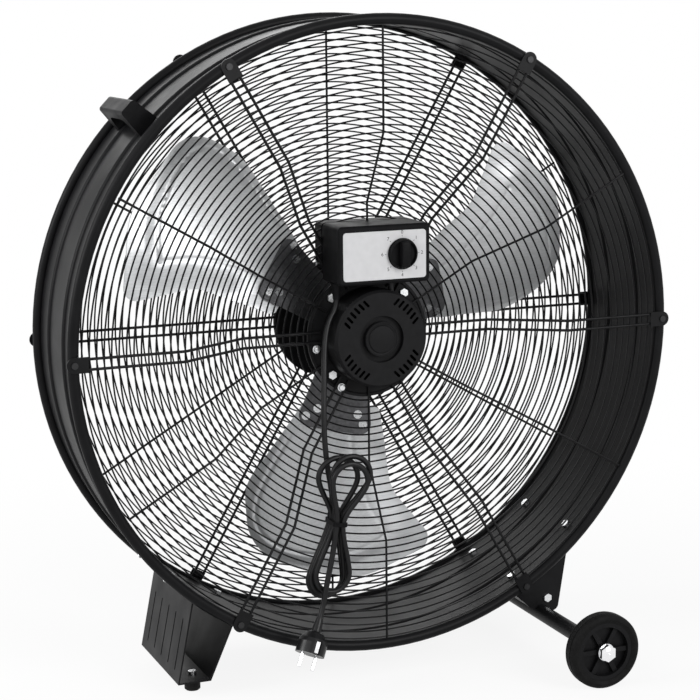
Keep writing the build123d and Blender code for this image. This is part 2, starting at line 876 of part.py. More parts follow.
def make_knob():
    back = box_face - plate_wall - knob_gap
    skirt = back - knob_skirt
    face = back - knob_height
    rim = Pos(knob_x, 0, knob_z) * turned(
        (0, back), (knob_radius, back), (knob_radius - knob_draft, skirt), (0, skirt)
    )
    length = math.sqrt((knob_radius - 2 * knob_draft) ** 2 - grip_width**2 / 4)
    grip = block(
        (knob_x - grip_width / 2, knob_x + grip_width / 2), (face, skirt), (knob_z - length, knob_z + length)
    )
    grip = chamfer(grip.faces().sort_by(Axis.Y)[0].edges(), grip_bevel)
    return rim + grip - axial_bar(switch_shaft_radius, skirt, back + past, knob_x, knob_z)


def make_capacitor():
    width, depth, height = capacitor_size
    back = box_face + box_wall
    return block(
        (capacitor_x - width / 2, capacitor_x + width / 2),
        (back, back + depth),
        (knob_z - height / 2, knob_z + height / 2),
    )


def make_gland():
    """Strain relief under the box: inner nut, thread, collar and tapered sleeve."""
    collar = box_bottom - gland_collar
    tip = box_bottom - gland_length
    inside = box_bottom + box_wall
    axis = Plane(origin=(gland_x, gland_y, 0), x_dir=(1, 0, 0), z_dir=(0, -1, 0))
    profile = Polyline(
        (0, inside + gland_nut_height),
        (gland_thread + gland_nut_wall, inside + gland_nut_height),
        (gland_thread + gland_nut_wall, inside),
        (gland_thread, inside),
        (gland_thread, box_bottom),
        (gland_collar_radius, box_bottom),
        (gland_collar_radius, collar),
        (gland_collar_radius - gland_sleeve_step, collar),
        (cord_radius + gland_tip_wall, tip),
        (0, tip),
        close=True,
    )
    face = axis * make_face(profile)
    return revolve(face, Axis((gland_x, gland_y, 0), (0, 0, 1)))


# ------------------------------------------------------------------ handle
def make_handle():
    """Bridge handle along the drum, with an arched finger gap."""
    top = drum_outer + handle_height
    half = handle_length / 2
    base = drum_outer - past
    side_view = Pos((base + top) / 2, 0) * Rectangle(top - base, handle_length)
    gap = Pos(drum_outer + (grip_rise - 2 * past) / 2, 0) * Rectangle(grip_rise + 2 * past, grip_opening)
    gap = fillet(gap.vertices().group_by(Axis.X)[-1], grip_arch)
    bridge = extrude(side_view - gap, handle_base / 2, both=True)
    end_view = make_face(
        Polyline(
            (base, -handle_base / 2),
            (top, -handle_top / 2),
            (top, handle_top / 2),
            (base, handle_base / 2),
            close=True,
        )
    )
    end_view = fillet(end_view.vertices().group_by(Axis.X)[-1], handle_edge)
    bridge &= axial_plate(end_view, -half, half)
    bridge = clock_turn(bridge, handle_clock)
    clear = rib_station + rib_width / 2 + handle_rib_gap
    bridge -= axial_bar(drum_outer + rib_height + handle_rib_gap, -clear, clear)
    bridge -= axial_bar(drum_outer, -half - past, half + past)
    for side in (-1, 1):
        bridge -= make_handle_screw_bar(side, handle_screw, seat_play, past)
    return bridge


def make_handle_screw_bar(side, radius, play=0.0, extra=0.0):
    outer = drum_outer + handle_screw_reach + extra
    inner = drum_bore - head_gap - extra
    return radial_bar(radius + play, inner, outer, handle_clock, side * handle_screw_station)


def make_handle_screw(side):
    shank = make_handle_screw_bar(side, handle_screw)
    inner = drum_bore - head_gap
    station = side * handle_screw_station
    return shank + radial_bar(2 * handle_screw, inner - handle_screw_head, inner, handle_clock, station)


# ------------------------------------------------------------------ legs and feet
def bolt_stations(clocks):
    return [(clock, side * leg_bolt_station) for clock in clocks for side in (-1, 1)]


def tab_holes(clocks):
    outer = drum_outer + right_leg_sheet + past
    return [
        radial_bar(leg_bolt + seat_play, drum_outer - past, outer, clock, station)
        for clock, station in bolt_stations(clocks)
    ]


def make_left_leg():
    """Folded channel: outer plate, sole and inner plate, with bolted tabs on the drum."""
    middle = drum_outer + left_leg_sheet / 2
    outer_top = at_clock(middle, left_leg_meets[0])
    inner_top = at_clock(middle, left_leg_meets[1])
    corners = [
        (outer_top.X, outer_top.Z),
        (left_leg_outer_x, left_leg_bottom - left_leg_sheet / 2),
        (left_leg_inner_x, left_leg_bottom - left_leg_sheet / 2),
        (inner_top.X, inner_top.Z),
    ]
    channel = axial_plate(pen_stroke(corners, left_leg_sheet), -left_leg_half, left_leg_half)
    clear = drum_outer + rib_height + leg_rib_gap
    channel -= axial_bar(clear, -tab_station, tab_station)
    edge = drum_outer + left_leg_sheet
    for start, end in zip(left_leg_ends, left_leg_meets):
        band = arc_band(drum_outer, edge, start, end)
        channel += axial_plate(band, tab_station, left_leg_half)
        channel += axial_plate(band, -left_leg_half, -tab_station)
    places = [k - (groove_count - 1) / 2 for k in range(groove_count)]
    channel -= [leg_groove(corners[0], corners[1], place) for place in places]
    channel -= [leg_groove(corners[3], corners[2], place) for place in places]
    channel -= tab_holes(left_bolt_clocks)
    for side in (-1, 1):
        hole = Pos(foot_x, side * foot_station, left_leg_bottom)
        channel -= hole * Cylinder(foot_screw + seat_play, 4 * left_leg_sheet)
    return channel


def leg_groove(top, low, place):
    """Shallow pressed groove down the outside of a plate of the leg."""
    top, low = Vector(top[0], 0, top[1]), Vector(low[0], 0, low[1])
    along = (top - low).normalized()
    outward = along.cross(Vector(0, 1, 0))
    if outward.X * (low.X - foot_x) < 0:
        outward = -outward
    centre = low + along * (groove_length / 2 + groove_margin) + outward * (left_leg_sheet / 2)
    plane = Plane(origin=centre + Vector(0, place * groove_pitch, 0), x_dir=along, z_dir=outward)
    return plane * Box(groove_length, groove_width, 2 * groove_depth)


def make_leg_bolt(clock, station):
    inner = drum_bore - head_gap
    plane = Plane(origin=at_clock(inner, clock, station), z_dir=-at_clock(1, clock))
    outer = drum_outer + right_leg_sheet + nut_height + past_nut
    shank = radial_bar(leg_bolt, inner, outer, clock, station)
    return shank + hex_head(0, head_height, nut_flats, plane)


def leg_nuts():
    nuts = []
    for clocks, sheet in ((left_bolt_clocks, left_leg_sheet), (right_bolt_clocks, right_leg_sheet)):
        for clock, station in bolt_stations(clocks):
            seat = drum_outer + sheet + seat_play
            nuts.append(make_nut(at_clock(seat, clock, station), at_clock(1, clock)))
    return nuts


def make_foot(side):
    top = left_leg_bottom - left_leg_sheet
    place = Pos(foot_x, side * foot_station, floor)
    foot = place * Cylinder(foot_radius, top - floor, align=(Align.CENTER, Align.CENTER, Align.MIN))
    foot = chamfer(foot.faces().sort_by(Axis.Z)[0].edges(), foot_bevel)
    hole = Pos(foot_x, side * foot_station, top)
    return foot - hole * Cylinder(foot_screw + seat_play, 2 * foot_hole_depth)


def make_foot_screw(side):
    place = Pos(foot_x, side * foot_station, left_leg_bottom)
    low = left_leg_sheet + foot_screw_reach
    shank = place * Cylinder(foot_screw, low, align=(Align.CENTER, Align.CENTER, Align.MAX))
    head = Cylinder(2 * foot_screw, foot_screw_head, align=(Align.CENTER, Align.CENTER, Align.MIN))
    return shank + place * head


def make_right_leg():
    """Folded bracket on the tube: two side plates, a web towards the drum's middle and four tabs."""
    start = at_clock(drum_outer, right_plate_clocks[0])
    middle = at_clock(drum_outer, sum(right_plate_clocks) / 2)
    end = at_clock(drum_outer, right_plate_clocks[1])
    web_foot = (axle_x - right_web_run, axle_z + right_web_rise)
    corner = (axle_x + right_plate_run, axle_z)
    outline = make_face(
        [
            ThreePointArc((start.X, start.Z), (middle.X, middle.Z), (end.X, end.Z)),
            Polyline((end.X, end.Z), corner, (axle_x, axle_z), web_foot, (start.X, start.Z)),
        ]
    )
    outline = fillet(outline.vertices().sort_by_distance(Vector(*corner))[0], right_plate_corner)
    outline -= Pos(axle_x, axle_z) * Circle(tube_radius + seat_play)
    inner_edge = right_leg_half - right_leg_sheet
    half = right_leg_sheet / 2
    top = at_clock(drum_outer + half, right_plate_clocks[0])
    web = pen_stroke([(top.X, top.Z), (web_foot[0] + half, web_foot[1] + half)], right_leg_sheet)
    bracket = axial_plate(web, -right_leg_half, right_leg_half)
    bracket -= axial_bar(drum_outer + rib_height + leg_rib_gap, -tab_station, tab_station)
    band = arc_band(drum_outer, drum_outer + right_leg_sheet, *right_tab_clocks)
    for low, high in ((-right_leg_half, -inner_edge), (inner_edge, right_leg_half)):
        bracket += axial_plate(outline, low, high)
    for low, high in ((-right_leg_half, -tab_station), (tab_station, right_leg_half)):
        bracket += axial_plate(band, low, high)
    bracket -= tab_holes(right_bolt_clocks)
    through = right_leg_half + past
    return bracket - axial_bar(leg_bolt + seat_play, -through, through, saddle_bolt_x, saddle_bolt_z)


def make_saddle():
    """Channel that sits on the axle tube and is bolted between the side plates."""
    inside = right_leg_half - right_leg_sheet
    width = (axle_x - saddle_half, axle_x + saddle_half)
    wider = (width[0] - past, width[1] + past)
    outer = block(width, (-inside, inside), (saddle_low, saddle_low + saddle_rise))
    inner = (-inside + right_leg_sheet, inside - right_leg_sheet)
    saddle = outer - block(wider, inner, (saddle_low + right_leg_sheet, saddle_low + saddle_rise + past))
    through = inside + past
    return saddle - axial_bar(leg_bolt + seat_play, -through, through, saddle_bolt_x, saddle_bolt_z)


def make_saddle_bolt(side):
    inside = right_leg_half - 2 * right_leg_sheet
    ends = sorted((side * right_leg_half, side * (inside - nut_height - past_nut)))
    shank = axial_bar(leg_bolt, *ends, saddle_bolt_x, saddle_bolt_z)
    plane = Plane(origin=(saddle_bolt_x, side * right_leg_half, saddle_bolt_z), z_dir=(0, side, 0))
    return shank + hex_head(0, head_height, nut_flats, plane)


def saddle_nuts():
    inside = right_leg_half - 2 * right_leg_sheet
    seats = [Vector(saddle_bolt_x, side * inside, saddle_bolt_z) for side in (-1, 1)]
    return [make_nut(seat, Vector(0, -side, 0)) for side, seat in zip((-1, 1), seats)]


# ------------------------------------------------------------------ axle and wheels
def wheel_point(side, out):
    """Station at a distance outwards from the middle of a wheel."""
    return side * (wheel_reaches[side] + out)


def make_tube():
    low, high = (wheel_point(side, -tube_step) for side in (-1, 1))
    tube = axial_bar(tube_radius, low, high, axle_x, axle_z)
    return tube - axial_bar(axle_radius + seat_play, low - past, high + past, axle_x, axle_z)


def make_axle():
    low, high = (wheel_point(side, nut_step + cap_nut_height) for side in (-1, 1))
    return axial_bar(axle_radius, low, high, axle_x, axle_z)


def make_wheel_hub(side):
    bore = axle_radius + running_play
    boss = turned((bore, -hub_half), (hub_boss, -hub_half), (hub_boss, hub_half), (bore, hub_half))
    rim = turned(
        (rim_inner, -rim_half), (tyre_inner, -rim_half), (tyre_inner, rim_half), (rim_inner, rim_half)
    )
    web = axial_bar(rim_inner + past, -web_half, web_half)
    web -= axial_bar(hub_boss - past, -web_half - past, web_half + past)
    hub = boss + rim + web
    reach = ((hub_boss + bore) / 2, (rim_inner + tyre_inner) / 2)
    for k in range(spoke_count):
        spoke = block(reach, (-spoke_half, spoke_half), (-spoke_width / 2, spoke_width / 2))
        hub += clock_turn(spoke, 360 * k / spoke_count)
    return Pos(axle_x, wheel_point(side, 0), axle_z) * hub


def make_tyre(side):
    profile = Pos((tyre_inner + wheel_radius) / 2, 0) * Rectangle(wheel_radius - tyre_inner, wheel_width)
    profile = fillet(profile.vertices().group_by(Axis.X)[-1], min(tyre_shoulder, wheel_width / 2 - past))
    return Pos(axle_x, wheel_point(side, 0), axle_z) * revolve(profile, Axis.Y)


def make_washer(ends):
    low, high = sorted(ends)
    washer = axial_bar(washer_radius, low, high, axle_x, axle_z)
    return washer - axial_bar(axle_radius + seat_play, low - past, high + past, axle_x, axle_z)


def washers():
    """One each side of each wheel."""
    faces = (-tube_step, nut_step - washer_wall)
    return [
        make_washer((wheel_point(side, face), wheel_point(side, face + washer_wall)))
        for side in (-1, 1)
        for face in faces
    ]


def make_cap_nut(side):
    """Hexagon nut with a low dome, on the end of the axle."""
    seat = wheel_point(side, nut_step)
    plane = Plane(origin=(axle_x, seat, axle_z), z_dir=(0, side, 0))
    nut = hex_head(0, cap_nut_height, cap_nut_flats, plane)
    ball = (cap_dome**2 + cap_dome_rise**2) / (2 * cap_dome_rise)
    above = Pos(0, 0, ball) * Box(2 * ball, 2 * ball, 2 * ball)
    dome = Pos(0, 0, cap_dome_rise - ball) * Sphere(ball) & above
    nut += plane * Pos(0, 0, cap_nut_height) * dome
    ends = sorted((wheel_point(side, nut_step - past), wheel_point(side, nut_step + cap_nut_height)))
    return nut - axial_bar(axle_radius + seat_play, *ends, axle_x, axle_z)


# ------------------------------------------------------------------ mains cord
def hank_point(across, along, layer):
    """Point of the hank from its waist; layers are stacked away from the grille."""
    lean = math.radians(hank_lean)
    x = hank_waist[0] + across * math.cos(lean) + along * math.sin(lean)
    z = hank_waist[1] - across * math.sin(lean) + along * math.cos(lean)
    return Vector(x, hank_station - layer * hank_pitch, z)


def loop_points(loop, upward, layer):
    """Corners round one end of the hank, from one flank to the other."""
    shift, radius, height = loop
    corner = radius / math.cos(math.radians(loop_sweep / loop_steps / 2))
    points = []
    for k in range(loop_steps + 1):
        angle = math.radians(90 + loop_sweep * (k / loop_steps - 0.5))
        across, along = corner * math.cos(angle), height - radius + corner * math.sin(angle)
        if upward:
            points.append(hank_point(shift + across, along, layer))
        else:
            points.append(hank_point(shift - across, -along, layer))
    return points


def hank_route():
    points = [hank_point(-waist_half, hank_end_run, 0), hank_point(-waist_half, -waist_run, 0)]
    for turn in range(hank_turns):
        points += loop_points(low_loops[turn], False, turn)
        points.append(hank_point(waist_half, -waist_run, turn + 1))
        points.append(hank_point(waist_half, waist_run, turn + 1))
        points += loop_points(top_loops[turn], True, turn + 1)
        points.append(hank_point(-waist_half, waist_run, turn + 1))
        last = turn == hank_turns - 1
        points.append(hank_point(-waist_half, -(hank_end_run if last else waist_run), turn + 1))
    return points


def lead_route():
    """From the strain relief, past the left of the motor, down to the waist of the hank."""
    start = Vector(gland_x, gland_y, box_bottom - gland_length)
    end = hank_point(-waist_half, hank_end_run, 0)
    return [
        start,
        start + Vector(0, 0, -10),
        Vector(-64, -69.5, 27),
        Vector(-71.5, -75, 7),
        Vector(-76, -82, -18),
        Vector(-80, -91, -50),
        Vector(-84, -99, -84),
        Vector(-85, -103.5, -120),
        Vector(-82, -104.5, -153),
        Vector(-77.5, -104.5, -178),
        hank_point(-waist_half, hank_end_run + 15, 0),
        end,
    ]


def tail_route():
    """From the waist of the hank to the plug."""
    start = hank_point(-waist_half, -hank_end_run, hank_turns)
    last = plug_entry - plug_direction.normalized() * 15
    return [
        start,
        hank_point(-waist_half, -hank_end_run - 14, hank_turns),
        Vector(-89, -130, -267),
        Vector(-95, -130.5, -293),
        last,
        plug_entry,
    ]


def route_path(points):
    """Straight runs joined by arcs as large as the runs allow, and the radii of those arcs."""
    radii = []
    for before, corner, after in zip(points, points[1:], points[2:]):
        first, second = corner - before, after - corner
        turn = math.radians(first.get_angle(second))
        radii.append(arc_share * min(first.length, second.length) / math.tan(turn / 2))
    return FilletPolyline(*points, radius=radii), radii


def make_cord(name, points):
    path, radii = route_path(points)
    edge = path.edges()[0]
    section = Plane(origin=edge @ 0, z_dir=edge % 0) * Circle(cord_radius)
    tube = sweep(section, path=path)
    straight = math.pi * cord_radius**2 * path.length
    least = " ".join(f"{radius:.0f}" for radius in radii)
    print(f"{name}: length {path.length:.0f} mm, volume over section by length {tube.volume / straight:.4f}")
    print(f"  radii {least}")
    return tube, path


def self_gap(path):
    """Least clear gap between parts of the tube that aren't neighbours along it."""
    count = int(path.length / 2)
    points = [path @ (k / count) for k in range(count + 1)]
    apart = int(6 * cord_radius / 2) + 1
    least = min(
        (points[i] - points[j]).length for i in range(count) for j in range(i + apart, count + 1)
    )
    return least - 2 * cord_radius


def make_tie():
    """Band that draws the hank in at its waist."""
    lean = math.radians(hank_lean)
    near = hank_station + cord_radius + tie_gap
    far = hank_station - hank_turns * hank_pitch - cord_radius - tie_gap
    half = waist_half + cord_radius + tie_gap
    middle = Vector(hank_waist[0], (near + far) / 2, hank_waist[1])
    plane = Plane(
        origin=middle, x_dir=(math.cos(lean), 0, -math.sin(lean)), z_dir=(math.sin(lean), 0, math.cos(lean))
    )
    width, depth = 2 * half, near - far
    band = RectangleRounded(width + 2 * tie_wall, depth + 2 * tie_wall, cord_radius + tie_wall)
    band -= RectangleRounded(width, depth, cord_radius)
    return extrude(plane * band, tie_height / 2, both=True)


def plug_plane():
    return Plane(origin=plug_entry, x_dir=(1, 0, -0.4), z_dir=plug_direction)


def make_plug():
    """Moulded round plug with a tapered tail and two earth grooves."""
    neck, swell = plug_neck
    shoulders = [(radius, neck + beyond) for beyond, radius in plug_shoulder]
    profile = make_face(
        Polyline(
            (0, 0),
            (cord_radius + plug_mouth, 0),
            (cord_radius + swell, neck),
            *shoulders,
            (plug_head, neck + plug_head_start),
            (plug_head, plug_length),
            (0, plug_length),
            close=True,
        )
    )
    body = revolve(Plane.XZ * profile, Axis.Z)
    width, depth, length = plug_groove
    place = Pos(0, 0, plug_length - length / 2)
    groove = place * Box(width, 2 * (plug_head + past), length)
    groove -= place * Box(width + past, 2 * (plug_head - depth), length + past)
    return plug_plane() * (body - groove)


def plug_metal():
    """Two round pins and two sprung earth strips."""
    pins = []
    for side in (-1, 1):
        pin = Pos(side * plug_pin_gap / 2, 0, plug_length) * Cylinder(
            plug_pin_radius, plug_pin_length, align=(Align.CENTER, Align.CENTER, Align.MIN)
        )
        tip = pin.faces().sort_by(Axis.Z)[-1].edges()
        pins.append(plug_plane() * fillet(tip, plug_pin_rounding))
        strip = Pos(0, side * (plug_head - earth_strip_seat), plug_length - plug_groove[2] / 2)
        pins.append(plug_plane() * strip * Box(*earth_strip))
    return pins


def write_drum_pieces():
    write("drum_shell", make_drum())
    write("rear_grille", make_rear_grille())
    write("front_grille", make_front_grille())
    write("front_centre_disc", make_centre_disc())
    write("rear_clips", *[make_clip(clock, -1) for clock in rim_clocks])
    write("front_clips", *[make_clip(clock, 1) for clock in rim_clocks])
    write("clip_screws", *[make_clip_screw(clock, side) for clock in rim_clocks for side in (-1, 1)])
    write("carry_handle", make_handle())
    write("handle_screws", *both_sides(make_handle_screw))


def write_motor_pieces():
    nut_seats = [Vector(place.X, mount_front + ear_wall, place.Z) for place in mount_places()]
    nuts = [make_nut(seat, Vector(0, 1, 0)) for seat in nut_seats]
    write("motor_mount_plate", make_mount_plate())
    write("mount_bolts", *[make_mount_bolt(place) for place in mount_places()])
    write("hex_nuts", *nuts, *leg_nuts(), *saddle_nuts())
    write("motor_housing", make_motor_housing())
    write("motor_end_bell", make_end_bell())
    write("motor_rear_cover", make_rear_cover())
    write("motor_lead", make_motor_lead())
    write("stator_core", make_stator())
    write("stator_windings", *make_windings())
    write("front_bearing", make_bearing(motor_front - bearing_shoulder - bearing_width))
    write("rear_bearing", make_bearing(motor_rear + bell_wall))


def write_fan_pieces():
    write("rotor_core", make_rotor())
    write("motor_shaft", make_shaft())
    write("fan_hub", make_hub())
    write("hub_set_screw", make_set_screw())
    blade = make_blade()
    for number, clock in enumerate(blade_clocks, start=1):
        write(f"fan_blade_{number}", clock_turn(blade, clock))
    rivets = [make_rivet(place) for place in rivet_places()]
    write("blade_rivets", *[clock_turn(rivet, clock) for rivet in rivets for clock in blade_clocks])


def write_control_pieces():
    write("control_box", make_control_box())
    write("faceplate", make_faceplate())
    write("box_back_pan", make_back_pan())
    write("box_screws", *[make_box_screw(x, z) for x, z in box_screw_places()])
    write("rotary_switch", make_switch())
    write("switch_shaft", make_switch_shaft())
    write("speed_knob", make_knob())
    write("run_capacitor", make_capacitor())
    write("cable_gland", make_gland())


def write_leg_pieces():
    bolts = bolt_stations(left_bolt_clocks) + bolt_stations(right_bolt_clocks)
    write("left_leg", make_left_leg())
    write("rubber_feet", *both_sides(make_foot))
    write("foot_screws", *both_sides(make_foot_screw))
    write("right_leg", make_right_leg())
    write("leg_bolts", *[make_leg_bolt(clock, station) for clock, station in bolts])
    write("axle_saddle", make_saddle())
    write("saddle_bolts", *both_sides(make_saddle_bolt))
    write("axle_tube", make_tube())
    write("axle_rod", make_axle())
    write("axle_washers", *washers())
    write("axle_cap_nuts", *both_sides(make_cap_nut))
    for name, side in (("near", -1), ("far", 1)):
        write(f"{name}_wheel_hub", make_wheel_hub(side))
        write(f"{name}_wheel_tyre", make_tyre(side))


def write_cord_pieces():
    lead, _ = make_cord("cord_lead", lead_route())
    hank, hank_path = make_cord("cord_hank", hank_route())
    tail, _ = make_cord("cord_tail", tail_route())
    print(f"hank: {hank_turns} turns, least gap to itself {self_gap(hank_path):.2f} mm")
    write("cord_lead", lead)
    write("cord_hank", hank)
    write("cord_tail", tail)
    write("cord_tie", make_tie())
    write("plug_body", make_plug())
    write("plug_pins", *plug_metal())


os.makedirs("parts", exist_ok=True)
write_drum_pieces()
write_motor_pieces()
write_fan_pieces()
write_control_pieces()
write_leg_pieces()
write_cord_pieces()
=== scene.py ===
import json
import math

import bpy
from mathutils import Matrix, Vector


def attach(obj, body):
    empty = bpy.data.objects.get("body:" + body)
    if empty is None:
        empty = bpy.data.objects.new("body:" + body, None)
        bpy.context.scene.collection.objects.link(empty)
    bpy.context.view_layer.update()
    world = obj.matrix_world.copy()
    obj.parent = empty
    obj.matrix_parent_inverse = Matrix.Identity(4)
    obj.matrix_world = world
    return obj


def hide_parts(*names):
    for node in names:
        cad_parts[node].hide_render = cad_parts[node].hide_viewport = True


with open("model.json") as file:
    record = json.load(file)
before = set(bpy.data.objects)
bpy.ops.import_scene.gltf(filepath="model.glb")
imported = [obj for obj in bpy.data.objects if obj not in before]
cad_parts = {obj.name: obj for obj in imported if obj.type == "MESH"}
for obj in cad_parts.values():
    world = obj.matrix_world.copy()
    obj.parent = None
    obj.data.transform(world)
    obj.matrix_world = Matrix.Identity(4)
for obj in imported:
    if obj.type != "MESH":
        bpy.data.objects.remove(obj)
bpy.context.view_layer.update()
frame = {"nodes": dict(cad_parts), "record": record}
print("frame loaded,", len(frame["nodes"]), "nodes")

mm = 0.001
axisHeight = 432  # mm, the fan axis above the floor
drumShift = 66.5  # mm, the middle of the drum from the row's origin, along the fan axis


def place(x, y, z):
    # most places below are measured from the middle of the drum
    return Vector((x * mm, (y + drumShift) * mm, (z + axisHeight) * mm))


# camera, at the photograph's place
camera = {
    "azimuth": -21.756,
    "elevation": 10.383,
    "roll": -0.583,
    "distance": 2480.85,  # from the middle of the drum
    "slideRight": -7.984,
    "slideUp": -27.222,
    "lens": 99.42,
    "sensor": 36.0,
    "sight": 100,  # m
}


def addCamera(c):
    azimuth, elevation, roll = (math.radians(c[k]) for k in ("azimuth", "elevation", "roll"))
    back = Vector((
        math.sin(azimuth) * math.cos(elevation),
        -math.cos(azimuth) * math.cos(elevation),
        math.sin(elevation),
    ))
    level = Vector((0, 0, 1)).cross(back).normalized()
    above = back.cross(level)
    right = math.cos(roll) * level + math.sin(roll) * above
    up = back.cross(right)
    spot = place(0, 0, 0) + (c["distance"] * back + c["slideRight"] * right + c["slideUp"] * up) * mm
    bpy.ops.object.camera_add(location=spot)
    cam = bpy.context.object
    cam.name = "photoCamera"
    cam.rotation_euler = Matrix((right, up, back)).transposed().to_euler()
    cam.data.lens = c["lens"]
    cam.data.sensor_width = c["sensor"]
    cam.data.clip_end = c["sight"]
    bpy.context.scene.camera = cam


addCamera(camera)
print("camera placed")


# what the pieces below are shaped with
def clearSelection():
    bpy.ops.object.select_all(action="DESELECT")


def pick(*pieces):
    clearSelection()
    for piece in pieces:
        piece.select_set(True)
    bpy.context.view_layer.objects.active = pieces[0]


def lathe(name, steps, sides, ring=False):
    # steps are (radius, height) in mm; a ring closes on its first step
    clearSelection()
    radius, height = steps[0]
    fill = "NOTHING" if ring else "NGON"
    bpy.ops.mesh.primitive_circle_add(vertices=sides, radius=radius * mm, fill_type=fill)
    piece = bpy.context.object
    piece.name = name
    bpy.ops.object.mode_set(mode="EDIT")
    bpy.ops.mesh.select_all(action="SELECT")
    bpy.ops.transform.translate(value=(0, 0, height * mm))
    for (r0, h0), (r1, h1) in zip(steps, steps[1:] + steps[:1] if ring else steps[1:]):
        bpy.ops.mesh.extrude_region_move(TRANSFORM_OT_translate={"value": (0, 0, (h1 - h0) * mm)})
        bpy.ops.transform.resize(value=(r1 / r0, r1 / r0, 1), center_override=(0, 0, h1 * mm))
    tidyShell()
    bpy.ops.object.mode_set(mode="OBJECT")
    return piece


def tidyShell(gap=0.005):
    bpy.ops.mesh.select_all(action="SELECT")
    bpy.ops.mesh.remove_doubles(threshold=gap * mm)
    bpy.ops.mesh.normals_make_consistent(inside=False)


def lay(piece, matrix):
    piece.data.transform(matrix)
    piece.data.update()
    return piece


def copyOf(piece, matrix):
    twin = piece.copy()
    twin.data = piece.data.copy()
    bpy.context.scene.collection.objects.link(twin)
    return lay(twin, matrix)


def joinAll(name, pieces):
    pick(*pieces)
    bpy.ops.object.join()
    whole = bpy.context.object
    whole.name = name
    return whole


def roundEdges(piece, width, segments, angle=35):
    pick(piece)
    bevel = piece.modifiers.new("edges", "BEVEL")
    bevel.width = width * mm
    bevel.segments = segments
    bevel.limit_method = "ANGLE"
    bevel.angle_limit = math.radians(angle)
    bpy.ops.object.modifier_apply(modifier=bevel.name)
    return piece


def smoothFaces(piece, angle):
    pick(piece)
    bpy.ops.object.shade_smooth_by_angle(angle=math.radians(angle))
    return piece


def alongY(y=0.0, x=0.0, z=0.0):
    # turns a lathe's height to run along +Y, from a spot measured from the fan axis
    return Matrix.Translation(place(x, y, z)) @ Matrix.Rotation(math.radians(-90), 4, "X")


def aboutFan(clock):
    # turns about the fan axis, from +X towards +Z
    spin = Matrix.Rotation(math.radians(-clock), 4, "Y")
    return Matrix.Translation(place(0, 0, 0)) @ spin @ Matrix.Translation(-place(0, 0, 0))


def pointing(spot, direction, side=(0, 1, 0)):
    # turns a lathe's height to run along a direction, with its X kept square to side
    up = Vector(direction).normalized()
    right = Vector(side).cross(up).normalized()
    turn = Matrix((right, up.cross(right), up)).transposed().to_4x4()
    return Matrix.Translation(spot) @ turn


def facingBack(x, y, z):
    # towards the side with the control box
    return pointing(place(x, y, z), (0, -1, 0), (1, 0, 0))


# finishes: one for each material slot of the record
# colour, metal, roughness from and to, cloud size (mm), grain size (mm), grain height (mm), shade spread
finishes = {
    "drum_paint": dict(colour=(0.006, 0.006, 0.0065), rough=(0.34, 0.46), cloud=90, grain=1.6,
                       height=0.012, shine=0.07),
    "wire_coat": dict(colour=(0.005, 0.005, 0.0055), rough=(0.34, 0.48), cloud=40, grain=0.9,
                      height=0.015, shine=0.12),
    "leg_paint": dict(colour=(0.006, 0.006, 0.0065), rough=(0.36, 0.50), cloud=50, grain=1.1,
                      height=0.02, shine=0.10),
    "motor_paint": dict(colour=(0.006, 0.006, 0.0065), rough=(0.44, 0.58), cloud=30, grain=0.8,
                        height=0.02, shine=0.10),
    "black_plastic": dict(colour=(0.005, 0.005, 0.0055), rough=(0.42, 0.54), cloud=25, grain=0.5,
                          height=0.02, shine=0.06),
    "plug_plastic": dict(colour=(0.005, 0.005, 0.0055), rough=(0.28, 0.40), cloud=18, grain=0.4,
                         height=0.01, shine=0.2),
    "handle_plastic": dict(colour=(0.006, 0.006, 0.0065), rough=(0.42, 0.54), cloud=25, grain=0.6,
                           height=0.025, shine=0.05),
    "faceplate_grey": dict(colour=(0.50, 0.50, 0.51), rough=(0.40, 0.50), cloud=30, grain=0.4,
                           height=0.004, spread=0.04, shine=0.3),
    "blade_aluminium": dict(colour=(0.60, 0.61, 0.62), metal=0.5, rough=(0.30, 0.44), cloud=60,
                            grain=1.2, height=0.006, spread=0.10, brush=(1, 14, 14)),
    # hub_casting's dark grey is painted shade: it follows the arm that lies in shadow, while the lit arm is
    # mid-grey
    "hub_casting": dict(colour=(0.12, 0.12, 0.125), metal=0.8, rough=(0.45, 0.62), cloud=15, grain=0.9,
                        height=0.05, spread=0.25),
    "zinc": dict(colour=(0.72, 0.73, 0.74), metal=1.0, rough=(0.22, 0.38), cloud=4, grain=0.6,
                 height=0.01, spread=0.15),
    "black_screw": dict(colour=(0.02, 0.02, 0.021), metal=0.6, rough=(0.30, 0.45), cloud=4, grain=0.5,
                        height=0.01),
    "bright_steel": dict(colour=(0.60, 0.60, 0.61), metal=1.0, rough=(0.20, 0.32), cloud=8, grain=0.5,
                         height=0.004, spread=0.08),
    "core_steel": dict(colour=(0.32, 0.32, 0.33), metal=0.9, rough=(0.40, 0.55), cloud=10, grain=0.5,
                       height=0.03, spread=0.2),
    "copper": dict(colour=(0.75, 0.33, 0.16), metal=1.0, rough=(0.25, 0.40), cloud=8, grain=0.8,
                   height=0.12, spread=0.2, brush=(1, 6, 1)),
    "chrome": dict(colour=(0.86, 0.86, 0.87), metal=1.0, rough=(0.06, 0.14), cloud=6, grain=0.5,
                   height=0.003, spread=0.04),
    "tyre": dict(colour=(0.005, 0.005, 0.005), rough=(0.55, 0.72), cloud=14, grain=0.7, height=0.05,
                 spread=0.3, shine=0.08),
    "wheel_plastic": dict(colour=(0.005, 0.005, 0.0055), rough=(0.38, 0.52), cloud=16, grain=0.6,
                          height=0.02, spread=0.2, shine=0.10),
    "foot_rubber": dict(colour=(0.008, 0.008, 0.008), rough=(0.60, 0.75), cloud=8, grain=0.6,
                        height=0.05, spread=0.3, shine=0.12),
    "cord_rubber": dict(colour=(0.005, 0.005, 0.0055), rough=(0.34, 0.46), cloud=20, grain=0.5,
                        height=0.02, spread=0.2, shine=0.2),
}
